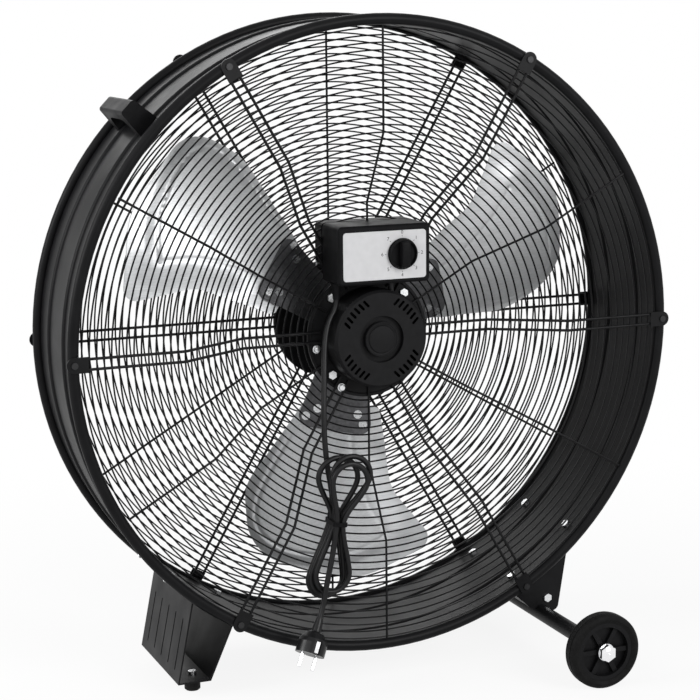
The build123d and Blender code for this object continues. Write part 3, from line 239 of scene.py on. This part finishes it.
pattern = {
    "noiseSpan": (0.3, 0.7),  # the part of the noise that the ramps use
    "cloudDetail": 4,
    "shadeDetail": 6,
    "shadeFiner": 3,  # shade patches to a cloud's width
    "grainDetail": 3,
}


def makeFinish(slotName, f):
    # cloudy roughness, patches of a lighter and darker shade, and a fine grain
    material = bpy.data.materials.new(slotName)
    material.use_nodes = True
    tree = material.node_tree
    shader = tree.nodes["Principled BSDF"]
    shader.inputs["Metallic"].default_value = f.get("metal", 0.0)
    shader.inputs["Specular IOR Level"].default_value = f.get("shine", 0.5)
    where = tree.nodes.new("ShaderNodeTexCoord")
    brush = tree.nodes.new("ShaderNodeMapping")
    brush.inputs["Scale"].default_value = f.get("brush", (1, 1, 1))
    tree.links.new(where.outputs["Object"], brush.inputs["Vector"])

    def noise(size, detail):
        node = tree.nodes.new("ShaderNodeTexNoise")
        node.inputs["Scale"].default_value = 1 / (size * mm)
        node.inputs["Detail"].default_value = detail
        tree.links.new(brush.outputs["Vector"], node.inputs["Vector"])
        return node.outputs["Fac"]

    def ramp(source, low, high):
        node = tree.nodes.new("ShaderNodeMapRange")
        node.inputs["From Min"].default_value, node.inputs["From Max"].default_value = pattern["noiseSpan"]
        node.inputs["To Min"].default_value = low
        node.inputs["To Max"].default_value = high
        tree.links.new(source, node.inputs["Value"])
        return node.outputs["Result"]

    clouds = noise(f["cloud"], pattern["cloudDetail"])
    tree.links.new(ramp(clouds, *f["rough"]), shader.inputs["Roughness"])
    spread = f.get("spread", 0.2)
    shade = tree.nodes.new("ShaderNodeMix")
    shade.data_type = "RGBA"
    shade.inputs[6].default_value = (*[c * (1 - spread) for c in f["colour"]], 1)
    shade.inputs[7].default_value = (*[min(1, c * (1 + spread)) for c in f["colour"]], 1)
    patches = noise(f["cloud"] / pattern["shadeFiner"], pattern["shadeDetail"])
    tree.links.new(ramp(patches, 0, 1), shade.inputs[0])
    tree.links.new(shade.outputs[2], shader.inputs["Base Color"])
    bump = tree.nodes.new("ShaderNodeBump")
    bump.inputs["Distance"].default_value = f["height"] * mm
    bump.inputs["Strength"].default_value = 1.0
    tree.links.new(noise(f["grain"], pattern["grainDetail"]), bump.inputs["Height"])
    tree.links.new(bump.outputs["Normal"], shader.inputs["Normal"])
    return material


materials = {slotName: makeFinish(slotName, f) for slotName, f in finishes.items()}
slotOf = {s["node"]: s["material_slot"] for s in frame["record"]["subparts"]}
for node, piece in frame["nodes"].items():
    piece.data.materials.clear()
    piece.data.materials.append(materials[slotOf[node]])
print("finishes made,", len(materials))


def settle(piece, body, slotName, *nodes):
    # gives a finished piece its paint, its body and the nodes that it stands for
    piece.data.materials.clear()
    piece.data.materials.append(materials[slotName])
    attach(piece, body)
    if nodes:
        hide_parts(*nodes)
    return piece


# mains cord: strain relief, lead down past the motor, hank tied at its waist, tail to the plug
cord = {
    "diameter": 7.0,
    "length": 1.646,  # m, from the strain relief to the plug
    "exit": (-53, -66, 51),
    "lead": [(-53, -66, 41), (-64, -69.5, 27), (-71.5, -75, 7), (-76, -82, -18), (-80, -91, -50),
             (-84, -99, -84), (-85, -103.5, -120), (-82, -104.5, -153), (-77.5, -104.5, -178)],
    "tail": [(-89, -130, -267), (-95, -130.5, -293)],
    "plugEntry": (-106, -134, -333),
    "plugDirection": (-0.42, -0.30, -0.857),
    "plugLead": 15,  # straight run into the plug
    "sides": 3,  # points added to each quarter of its section
    "smoothness": 8,
}
hank = {
    "turns": 3,
    "pitch": 8.2,
    "lean": 8.1,
    "waist": (-76, -218),
    "station": -104.5,
    "waistHalf": 4.1,
    "waistRun": 10,
    "endRun": 12,
    "leadIn": 15,  # straight run from the lead into the hank
    "leadOut": 14,  # straight run from the hank into the tail
    "steps": 6,
    "sweep": 210,
    "sweepFrom": -15,
    "top": [(-3, 26, 80), (11, 25, 84), (7, 23, 76)],  # shift, radius, height of each loop
    "low": [(0, 22.6, 98), (-1, 21.8, 93), (2, 22.2, 88)],
}


def hankPoint(across, along, layer):
    lean = math.radians(hank["lean"])
    x = hank["waist"][0] + across * math.cos(lean) + along * math.sin(lean)
    z = hank["waist"][1] - across * math.sin(lean) + along * math.cos(lean)
    return place(x, hank["station"] - layer * hank["pitch"], z)


def hankLoop(loop, upward, layer):
    shift, radius, height = loop
    side = 1 if upward else -1
    corner = radius / math.cos(math.radians(hank["sweep"] / hank["steps"] / 2))
    points = []
    for k in range(hank["steps"] + 1):
        angle = math.radians(hank["sweepFrom"] + hank["sweep"] * k / hank["steps"])
        across = shift + side * corner * math.cos(angle)
        along = side * (height - radius + corner * math.sin(angle))
        points.append(hankPoint(across, along, layer))
    return points


def cordRoute():
    half, run, end = hank["waistHalf"], hank["waistRun"], hank["endRun"]
    points = [place(*cord["exit"])] + [place(*p) for p in cord["lead"]]
    points += [hankPoint(-half, end + hank["leadIn"], 0), hankPoint(-half, end, 0), hankPoint(-half, -run, 0)]
    for turn in range(hank["turns"]):
        points += hankLoop(hank["low"][turn], False, turn)
        points += [hankPoint(half, -run, turn + 1), hankPoint(half, run, turn + 1)]
        points += hankLoop(hank["top"][turn], True, turn + 1)
        points += [hankPoint(-half, run, turn + 1), hankPoint(-half, -run, turn + 1)]
    entry = place(*cord["plugEntry"])
    straight = Vector(cord["plugDirection"]).normalized() * cord["plugLead"] * mm
    points.append(hankPoint(-half, -end - hank["leadOut"], hank["turns"]))
    return points + [place(*p) for p in cord["tail"]] + [entry - straight, entry]


def makeCord():
    line = bpy.data.curves.new("mainsCord", "CURVE")
    line.dimensions = "3D"
    line.bevel_depth = cord["diameter"] / 2 * mm
    line.bevel_resolution = cord["sides"]
    line.resolution_u = cord["smoothness"]
    line.use_fill_caps = True
    spline = line.splines.new("NURBS")
    route = cordRoute()
    spline.points.add(len(route) - 1)
    for point, spot in zip(spline.points, route):
        point.co = (*spot, 1)
    spline.order_u = 3
    spline.use_endpoint_u = True
    piece = bpy.data.objects.new("mainsCord", line)
    bpy.context.scene.collection.objects.link(piece)
    return settle(piece, "chassis", "cord_rubber", "cord_lead", "cord_hank", "cord_tail")


mainsCord = makeCord()
print("cord laid,", len(cordRoute()), "points")


# floor, background and lamps
studio = {
    "floorSize": 40,
    "floorColour": (0.80, 0.80, 0.80),
    "floorShade": 0.12,  # how much of the floor's own light shows by the part, and so of the shadow on it
    "floorRough": 0.9,
    "shadeReach": 1.3,  # m, where the floor has turned fully white
    "shadeFrom": 1 / 3,  # share of that reach where it starts to turn white
    "skyLight": 0.42,
    "lamps": [  # name, place, aimed at, width and height, watts
        ("sideLeft", (-2.7, 0.1, 1.5), (0, 0, 0.45), (1.4, 1.4), 60),
        ("overLeft", (-2.0, -1.9, 2.0), (0, 0, 0.45), (1.6, 1.6), 16),
        ("overRight", (1.2, -2.7, 1.6), (0.1, 0, 0.45), (1.6, 1.6), 64),
        ("frontFill", (0.4, 3.0, 1.8), (0, 0, 0.45), (2.0, 1.4), 26),
    ],
}


def whiteToCamera(tree):
    # 1 for rays that should see the white background
    rays = tree.nodes.new("ShaderNodeLightPath")
    total = rays.outputs["Is Camera Ray"]
    for kind in ("Is Glossy Ray", "Is Transmission Ray"):
        both = tree.nodes.new("ShaderNodeMath")
        both.operation = "MAXIMUM"
        tree.links.new(total, both.inputs[0])
        tree.links.new(rays.outputs[kind], both.inputs[1])
        total = both.outputs[0]
    return total


def makeStudio(s):
    bpy.ops.mesh.primitive_plane_add(size=s["floorSize"], location=(0, 0, 0))
    floor = bpy.context.object
    floor.name = "studioFloor"
    bpy.ops.object.transform_apply(location=True, rotation=True, scale=True)
    paint = bpy.data.materials.new("studioFloor")
    paint.use_nodes = True
    tree = paint.node_tree
    shader = tree.nodes["Principled BSDF"]
    shader.inputs["Base Color"].default_value = (*s["floorColour"], 1)
    shader.inputs["Roughness"].default_value = s["floorRough"]
    shader.inputs["Specular IOR Level"].default_value = 0.0
    glow = tree.nodes.new("ShaderNodeEmission")
    mix = tree.nodes.new("ShaderNodeMixShader")
    white = whiteToCamera(tree)
    where = tree.nodes.new("ShaderNodeTexCoord")
    away = tree.nodes.new("ShaderNodeVectorMath")
    away.operation = "LENGTH"
    tree.links.new(where.outputs["Object"], away.inputs[0])
    share = tree.nodes.new("ShaderNodeMapRange")
    share.interpolation_type = "SMOOTHSTEP"
    share.inputs["From Min"].default_value = s["shadeReach"] * s["shadeFrom"]
    share.inputs["From Max"].default_value = s["shadeReach"]
    share.inputs["To Min"].default_value = 1 - s["floorShade"]
    share.inputs["To Max"].default_value = 1.0
    tree.links.new(away.outputs["Value"], share.inputs["Value"])
    seen = tree.nodes.new("ShaderNodeMath")
    seen.operation = "MULTIPLY"
    tree.links.new(white, seen.inputs[0])
    tree.links.new(share.outputs["Result"], seen.inputs[1])
    tree.links.new(seen.outputs[0], mix.inputs[0])
    tree.links.new(shader.outputs[0], mix.inputs[1])
    tree.links.new(glow.outputs[0], mix.inputs[2])
    tree.links.new(mix.outputs[0], tree.nodes["Material Output"].inputs["Surface"])
    floor.data.materials.append(paint)

    world = bpy.data.worlds.new("studioWorld")
    bpy.context.scene.world = world
    world.use_nodes = True
    tree = world.node_tree
    light = tree.nodes["Background"]
    light.inputs["Strength"].default_value = s["skyLight"]
    light.inputs["Color"].default_value = (1, 1, 1, 1)
    white = tree.nodes.new("ShaderNodeBackground")
    white.inputs["Color"].default_value = (1, 1, 1, 1)
    mix = tree.nodes.new("ShaderNodeMixShader")
    tree.links.new(whiteToCamera(tree), mix.inputs[0])
    tree.links.new(light.outputs[0], mix.inputs[1])
    tree.links.new(white.outputs[0], mix.inputs[2])
    tree.links.new(mix.outputs[0], tree.nodes["World Output"].inputs["Surface"])

    for name, spot, aim, size, watts in s["lamps"]:
        bpy.ops.object.light_add(type="AREA", location=spot)
        lamp = bpy.context.object
        lamp.name = name
        lamp.rotation_euler = (Vector(aim) - Vector(spot)).to_track_quat("-Z", "Y").to_euler()
        lamp.data.shape = "RECTANGLE"
        lamp.data.size, lamp.data.size_y = size
        lamp.data.energy = watts
    bpy.context.scene.view_settings.view_transform = "Standard"


makeStudio(studio)
print("studio lit")


# wire grilles: every ring and spoke of the real ones
grille = {
    "reach": 383,
    "pitch": 9,
    "rings": 35,
    "ringWire": 2.2,
    "pairWire": 3.6,
    "singleWire": 3.0,
    "pairGap": 12.5,
    "station": 94.7,  # both grilles' spokes, from the middle of the drum
    "recess": -40,  # middle part of the rear grille
    "slopeFrom": 257,
    "slopeTo": 167,
    "spokeEnds": (64, 385),
    "ringSeat": 2.2,  # rings sit this far inwards of their spokes
    "ringSteps": 168,
    "ringSides": 6,
    "wireSides": 8,
    "pairs": 6,  # pairs of spokes, with a single spoke between each two
    "smoothBelow": 60,
}


def spunRings(name, rings, wire, sides, steps):
    # rings are (radius, station); their round sections turn once about the fan axis
    clearSelection()
    pieces = []
    for radius, station in rings:
        spot = place(radius, station, 0)
        bpy.ops.mesh.primitive_circle_add(vertices=sides, radius=wire / 2 * mm, location=spot)
        pieces.append(bpy.context.object)
    whole = joinAll(name, pieces)
    bpy.ops.object.transform_apply(location=True, rotation=True, scale=True)
    bpy.ops.object.mode_set(mode="EDIT")
    bpy.ops.mesh.select_all(action="SELECT")
    bpy.ops.mesh.spin(steps=steps, angle=math.tau, center=place(0, 0, 0), axis=(0, 1, 0))
    tidyShell()
    bpy.ops.object.mode_set(mode="OBJECT")
    return whole


def bentWire(name, points, wire, sides):
    # a round wire along points in mm, in the plane of X and Y, its first run along X
    clearSelection()
    spots = [place(*p) for p in points]
    bpy.ops.mesh.primitive_circle_add(vertices=sides, radius=wire / 2 * mm, fill_type="NGON",
                                      location=spots[0], rotation=(0, math.radians(90), 0))
    piece = bpy.context.object
    piece.name = name
    bpy.ops.object.transform_apply(location=True, rotation=True, scale=True)
    bpy.ops.object.mode_set(mode="EDIT")
    bpy.ops.mesh.select_all(action="SELECT")
    runs = [b - a for a, b in zip(spots, spots[1:])]
    leans = [math.atan2(run.y, run.x) for run in runs]
    facing = 0.0
    for k, run in enumerate(runs):
        bpy.ops.mesh.extrude_region_move(TRANSFORM_OT_translate={"value": run})
        onward = leans[min(k + 1, len(leans) - 1)]
        turn = (leans[k] + onward) / 2 - facing
        facing += turn
        if abs(turn) > 1e-6:  # with no window, rotate turns the other way
            bpy.ops.transform.rotate(value=-turn, orient_axis="Z", center_override=spots[k + 1])
    tidyShell()
    bpy.ops.object.mode_set(mode="OBJECT")
    return piece


def makeGrille(name, g, side):
    # side is -1 for the rear grille, whose middle is recessed, and 1 for the front one
    clearSelection()
    station, inwards = side * g["station"], -side * g["ringSeat"]

    def depth(radius):
        if side > 0 or radius >= g["slopeFrom"]:
            return station
        share = (g["slopeFrom"] - max(radius, g["slopeTo"])) / (g["slopeFrom"] - g["slopeTo"])
        return station + share * (g["recess"] - station)

    radii = [g["reach"] - g["pitch"] * k for k in range(g["rings"])]
    rings = [(radius, depth(radius) + inwards) for radius in radii]
    pieces = [spunRings("rings", rings, g["ringWire"], g["ringSides"], g["ringSteps"])]
    low, high = g["spokeEnds"]
    if side < 0:
        path = [(low, g["recess"], 0), (g["slopeTo"], g["recess"], 0),
                (g["slopeFrom"], station, 0), (high, station, 0)]
    else:
        path = [(radii[-1], station, 0), (high, station, 0)]
    single = bentWire("single", path, g["singleWire"], g["wireSides"])
    double = bentWire("double", path, g["pairWire"], g["wireSides"])
    step = 360 / g["pairs"]
    for k in range(g["pairs"]):
        pieces.append(copyOf(single, aboutFan((k + 0.5) * step)))
    for k in range(g["pairs"]):
        for offset in (-g["pairGap"] / 2, g["pairGap"] / 2):
            pieces.append(copyOf(double, aboutFan(k * step) @ Matrix.Translation((0, 0, offset * mm))))
    bpy.data.objects.remove(single)
    bpy.data.objects.remove(double)
    whole = joinAll(name, pieces)
    smoothFaces(whole, g["smoothBelow"])
    return settle(whole, "chassis", "wire_coat", "rear_grille" if side < 0 else "front_grille")


makeGrille("rearGrilleWires", grille, -1)
makeGrille("frontGrilleWires", grille, 1)
print("grilles wired,", grille["rings"], "rings each")


# blades: pressed aluminium sheet with a creased edge and a middle crease
blades = {
    "outline": [  # reach, across, corner radius
        (100, -36, 8), (232, -92, 60), (322, -74, 55), (331, 62, 90), (270, 158, 16), (205, 84, 60),
        (100, 52, 8),
    ],
    "clocks": {
        "bladeUpperLeft": (140, "fan_blade_1"),
        "bladeRight": (20, "fan_blade_2"),
        "bladeLower": (260, "fan_blade_3"),
    },
    "wall": 1.6,
    "meshSize": 2.2,
    "lean": 20,
    "camberRadius": 382,
    "camber": 12,
    "camberMiddle": 20,
    "station": 36,
    "edgeCrease": [(140, -45), (165, -53), (190, -61), (230, -73), (265, -77), (291, -66), (304, -42),
                   (307, -12), (303, 15), (296, 45), (282, 68), (264, 88)],
    "middleCrease": [(131, 20), (160, 26), (190, 36), (210, 47), (230, 58), (247, 72), (264, 88)],
    "edgeDepth": 2.0,
    "middleDepth": 1.1,
    "creaseHalf": 3.2,
    "creaseFrom": (138, 165),  # reach over which the edge crease fades in
    "flangeFall": 0.3,  # how far the sheet outside the edge crease falls away, for each mm
    "flangeMost": 4.6,
    "flangeStart": 1,
    "flangeFade": (2, 40),  # distance from the middle crease over which the flange fades in
    "cutterHalf": 5,
    "sheetSpare": 10,
    "weld": 0.01,
    "smoothBelow": 40,
}


def roundedLine(points, rounds=3):
    # each round cuts every corner a quarter of the way along its two sides
    for _ in range(rounds):
        nearer = [points[0]]
        for (x0, z0), (x1, z1) in zip(points, points[1:]):
            nearer.append((0.75 * x0 + 0.25 * x1, 0.75 * z0 + 0.25 * z1))
            nearer.append((0.25 * x0 + 0.75 * x1, 0.25 * z0 + 0.75 * z1))
        points = nearer + [points[-1]]
    return points


def distanceTo(line, x, z):
    nearest = 1e9
    for (x0, z0), (x1, z1) in zip(line, line[1:]):
        dx, dz = x1 - x0, z1 - z0
        share = max(0, min(1, ((x - x0) * dx + (z - z0) * dz) / (dx * dx + dz * dz)))
        nearest = min(nearest, math.hypot(x - x0 - share * dx, z - z0 - share * dz))
    return nearest


def inside(polygon, x, z):
    odd = False
    for (x0, z0), (x1, z1) in zip(polygon, polygon[1:] + polygon[:1]):
        if (z0 > z) != (z1 > z) and x < x0 + (z - z0) * (x1 - x0) / (z1 - z0):
            odd = not odd
    return odd


def easeIn(value, low, high):
    share = max(0, min(1, (value - low) / (high - low)))
    return share * share * (3 - 2 * share)


def roundedOutline(corners, steps=8):
    points = []
    for k, (x, z, radius) in enumerate(corners):
        before, after = Vector(corners[k - 1][:2]), Vector(corners[(k + 1) % len(corners)][:2])
        here = Vector((x, z))
        toBefore, toAfter = (before - here).normalized(), (after - here).normalized()
        half = toBefore.angle(toAfter) / 2
        centre = here + (toBefore + toAfter).normalized() * radius / math.sin(half)
        first = here + toBefore * radius / math.tan(half) - centre
        last = here + toAfter * radius / math.tan(half) - centre
        sweep = first.angle_signed(last)
        for step in range(steps + 1):
            arm = Matrix.Rotation(-sweep * step / steps, 2) @ first
            points.append(centre + arm)
    return points


def makeBlade(b):
    outline = roundedOutline(b["outline"])
    clearSelection()
    bpy.ops.mesh.primitive_circle_add(vertices=len(outline), radius=mm, fill_type="NGON")
    cutter = bpy.context.object
    for v, point in zip(cutter.data.vertices, outline):
        v.co = (point.x * mm, point.y * mm, -b["cutterHalf"] * mm)
    bpy.ops.object.mode_set(mode="EDIT")
    bpy.ops.mesh.select_all(action="SELECT")
    bpy.ops.mesh.extrude_region_move(TRANSFORM_OT_translate={"value": (0, 0, 2 * b["cutterHalf"] * mm)})
    bpy.ops.mesh.normals_make_consistent(inside=False)
    bpy.ops.object.mode_set(mode="OBJECT")

    xs, zs = [p.x for p in outline], [p.y for p in outline]
    width, depth = (max(span) - min(span) + b["sheetSpare"] for span in (xs, zs))
    clearSelection()
    bpy.ops.mesh.primitive_grid_add(
        x_subdivisions=round(width / b["meshSize"]), y_subdivisions=round(depth / b["meshSize"]), size=mm,
        location=((max(xs) + min(xs)) / 2 * mm, (max(zs) + min(zs)) / 2 * mm, 0))
    sheet = bpy.context.object
    sheet.scale = (width, depth, 1)
    bpy.ops.object.transform_apply(location=True, rotation=True, scale=True)
    wall = sheet.modifiers.new("wall", "SOLIDIFY")
    wall.thickness = b["wall"] * mm
    wall.offset = 0
    bpy.ops.object.modifier_apply(modifier=wall.name)
    trim = sheet.modifiers.new("trim", "BOOLEAN")
    trim.operation = "INTERSECT"
    trim.object = cutter
    bpy.ops.object.modifier_apply(modifier=trim.name)
    bpy.data.objects.remove(cutter)

    edge, middle = roundedLine(b["edgeCrease"]), roundedLine(b["middleCrease"])
    panel = edge + middle[::-1]
    lean = math.radians(b["lean"])
    rise = b["camberRadius"] - b["camber"]
    centreAcross = b["camberMiddle"] + rise * math.sin(lean)
    centreAlong = b["station"] - b["camberMiddle"] * math.tan(lean) + rise * math.cos(lean)
    for v in sheet.data.vertices:
        reach, across, height = v.co / mm
        fade = easeIn(reach, *b["creaseFrom"])
        fromEdge = distanceTo(edge, reach, across)
        fromMiddle = distanceTo(middle, reach, across)
        height -= b["edgeDepth"] * fade * (1 - easeIn(fromEdge, 0, b["creaseHalf"]))
        height -= b["middleDepth"] * (1 - easeIn(fromMiddle, 0, b["creaseHalf"]))
        if not inside(panel, reach, across):
            beyond = min(fromEdge, fromMiddle + b["flangeFade"][1])
            rootwards = easeIn(fromMiddle, *b["flangeFade"])
            fall = b["flangeFall"] * max(0, beyond - b["flangeStart"])
            height -= fade * rootwards * min(b["flangeMost"], fall)
        turn = math.asin((across - centreAcross) / b["camberRadius"])
        out = b["camberRadius"] + height
        v.co = place(reach, centreAlong - math.cos(turn) * out, centreAcross + math.sin(turn) * out)
    return sheet


flatBlade = makeBlade(blades)
for name, (clock, node) in blades["clocks"].items():
    blade = copyOf(flatBlade, aboutFan(clock))
    blade.name = name
    pick(blade)
    bpy.ops.object.mode_set(mode="EDIT")
    tidyShell(blades["weld"])
    bpy.ops.object.mode_set(mode="OBJECT")
    smoothFaces(blade, blades["smoothBelow"])
    settle(blade, "fan", "blade_aluminium", node)
bpy.data.objects.remove(flatBlade)
print("blades pressed")


# control box: knob, printed scale and the two screws in the side of its pan
dial = {
    "centre": (23, 107.5),  # x and z of the switch's shaft
    "plateFace": -97,
    "knobBack": -98,
    "skirt": [(19.5, 0), (19.5, 1.0), (19.1, 1.5), (18.6, 1.6), (18.3, 5.0), (17.7, 5.8), (16.9, 6.0),
              (16.3, 5.6), (15.9, 2.2), (3, 2.2)],
    "sides": 96,
    "smoothBelow": 30,
    "grip": (10.4, 12.2, 31.6),  # width, height, length
    "gripEdge": 1.7,
    "gripEdgeSteps": 4,
    "gripSink": 0.6,  # into the skirt
    "digits": 8,
    "digitRing": 26.6,
    "digitSize": 6.2,
    "tickRing": 22.2,
    "tick": (0.6, 0.12, 1.8),
    "ink": 0.12,
    "weld": 0.001,
}
boxScrews = {
    "side": -61.0,
    "spots": [(-21, 104), (-21, 91)],
    "head": [(3.4, 0), (3.4, 0.9), (2.8, 1.6), (1.2, 2.0)],
    "sides": 32,
    "smoothBelow": 30,
}


def boxAt(name, size, centre):
    clearSelection()
    bpy.ops.mesh.primitive_cube_add(size=mm, location=centre)
    piece = bpy.context.object
    piece.name = name
    piece.scale = size
    bpy.ops.object.transform_apply(location=True, rotation=True, scale=True)
    return piece


def makeKnob(d):
    x, z = d["centre"]
    skirt = lay(lathe("skirt", d["skirt"], d["sides"]), facingBack(x, d["knobBack"], z))
    out = d["skirt"][-1][1] + d["grip"][1] / 2 - d["gripSink"]
    grip = boxAt("grip", d["grip"], place(x, d["knobBack"] - out, z))
    roundEdges(grip, d["gripEdge"], d["gripEdgeSteps"])
    knob = smoothFaces(joinAll("speedKnob", [skirt, grip]), d["smoothBelow"])
    settle(knob, "knob", "black_plastic", "speed_knob")


def makeScale(d):
    x, z = d["centre"]
    marks = []
    for k in range(d["digits"]):
        clock = 90 - 360 * k / d["digits"]
        ray = Vector((math.cos(math.radians(clock)), 0, math.sin(math.radians(clock))))
        clearSelection()
        bpy.ops.object.text_add()
        digit = bpy.context.object
        digit.data.body = str(k)
        digit.data.size = d["digitSize"] * mm
        digit.data.extrude = d["ink"] / 2 * mm
        digit.data.align_x = "CENTER"
        digit.data.align_y = "CENTER"
        bpy.ops.object.convert(target="MESH")
        spot = place(x, d["plateFace"], z) + ray * d["digitRing"] * mm
        marks.append(lay(digit, Matrix.Translation(spot) @ Matrix.Rotation(math.radians(90), 4, "X")))
        tick = boxAt("tick", d["tick"], (0, 0, d["tickRing"] * mm))
        turn = Matrix.Rotation(math.radians(90 - clock), 4, "Y")
        marks.append(lay(tick, Matrix.Translation(place(x, d["plateFace"], z)) @ turn))
    scale = joinAll("speedScale", marks)
    pick(scale)
    bpy.ops.object.mode_set(mode="EDIT")
    tidyShell(d["weld"])
    bpy.ops.object.mode_set(mode="OBJECT")
    settle(scale, "chassis", "black_plastic")


def makeBoxScrews(b):
    heads = []
    for y, z in b["spots"]:
        head = lay(lathe("head", b["head"], b["sides"]), pointing(place(b["side"], y, z), (-1, 0, 0)))
        heads.append(head)
    settle(smoothFaces(joinAll("boxSideScrews", heads), b["smoothBelow"]), "chassis", "zinc")


makeKnob(dial)
makeScale(dial)
makeBoxScrews(boxScrews)
print("control box dressed")


# motor cover: the stepped boss inside its ring groove
coverBoss = {
    "station": -85,
    "steps": [(21.7, 0), (21.7, 0.7), (21.3, 1.1), (20.3, 1.1), (19.8, 0.5), (17.8, 0.3), (17.3, 1.3),
              (16.7, 1.9), (15.4, 2.1), (3, 2.3)],
    "sides": 96,
    "smoothBelow": 28,
}
boss = lay(lathe("coverBoss", coverBoss["steps"], coverBoss["sides"]), facingBack(0, coverBoss["station"], 0))
settle(smoothFaces(boss, coverBoss["smoothBelow"]), "chassis", "motor_paint")

# motor ring: the two screws and washers on its left, clear of the bolts
ringScrews = {
    "station": -38.2,
    "places": [(-69.5, -15), (-36.5, -66.5)],
    "steps": [(5.2, 0), (5.2, 0.9), (4.2, 1.0), (4.2, 3.0), (3.5, 3.9), (1.5, 4.3)],
    "sides": 32,
    "smoothBelow": 30,
}
heads = [lay(lathe("head", ringScrews["steps"], ringScrews["sides"]), facingBack(x, ringScrews["station"], z))
         for x, z in ringScrews["places"]]
settle(smoothFaces(joinAll("ringScrews", heads), ringScrews["smoothBelow"]), "chassis", "zinc")
print("motor cover finished")


# tyres: moulded sidewalls and a grooved tread
tyres = {
    "axle": (227, -384),
    "stations": {"nearTyre": (-246, "near_wheel"), "farTyre": (113, "far_wheel")},
    "half": [(48.0, 0.9), (48.0, 3.4), (47.0, 3.8), (47.0, 4.6), (47.9, 5.0), (47.4, 7.4), (45.8, 9.6),
             (43.6, 10.8), (41.4, 11.0), (40.6, 10.4), (39.2, 10.2), (38.4, 9.6), (37.0, 9.4)],
    "sides": 128,
    "smoothBelow": 32,
}


def makeTyre(t, name):
    station, body = t["stations"][name]
    x, z = t["axle"]
    profile = t["half"] + [(radius, -out) for radius, out in reversed(t["half"])]
    tyre = lay(lathe(name, profile, t["sides"], ring=True), alongY(station, x, z))
    settle(smoothFaces(tyre, t["smoothBelow"]), body, "tyre", body + "_tyre")


for name in tyres["stations"]:
    makeTyre(tyres, name)
print("tyres moulded")
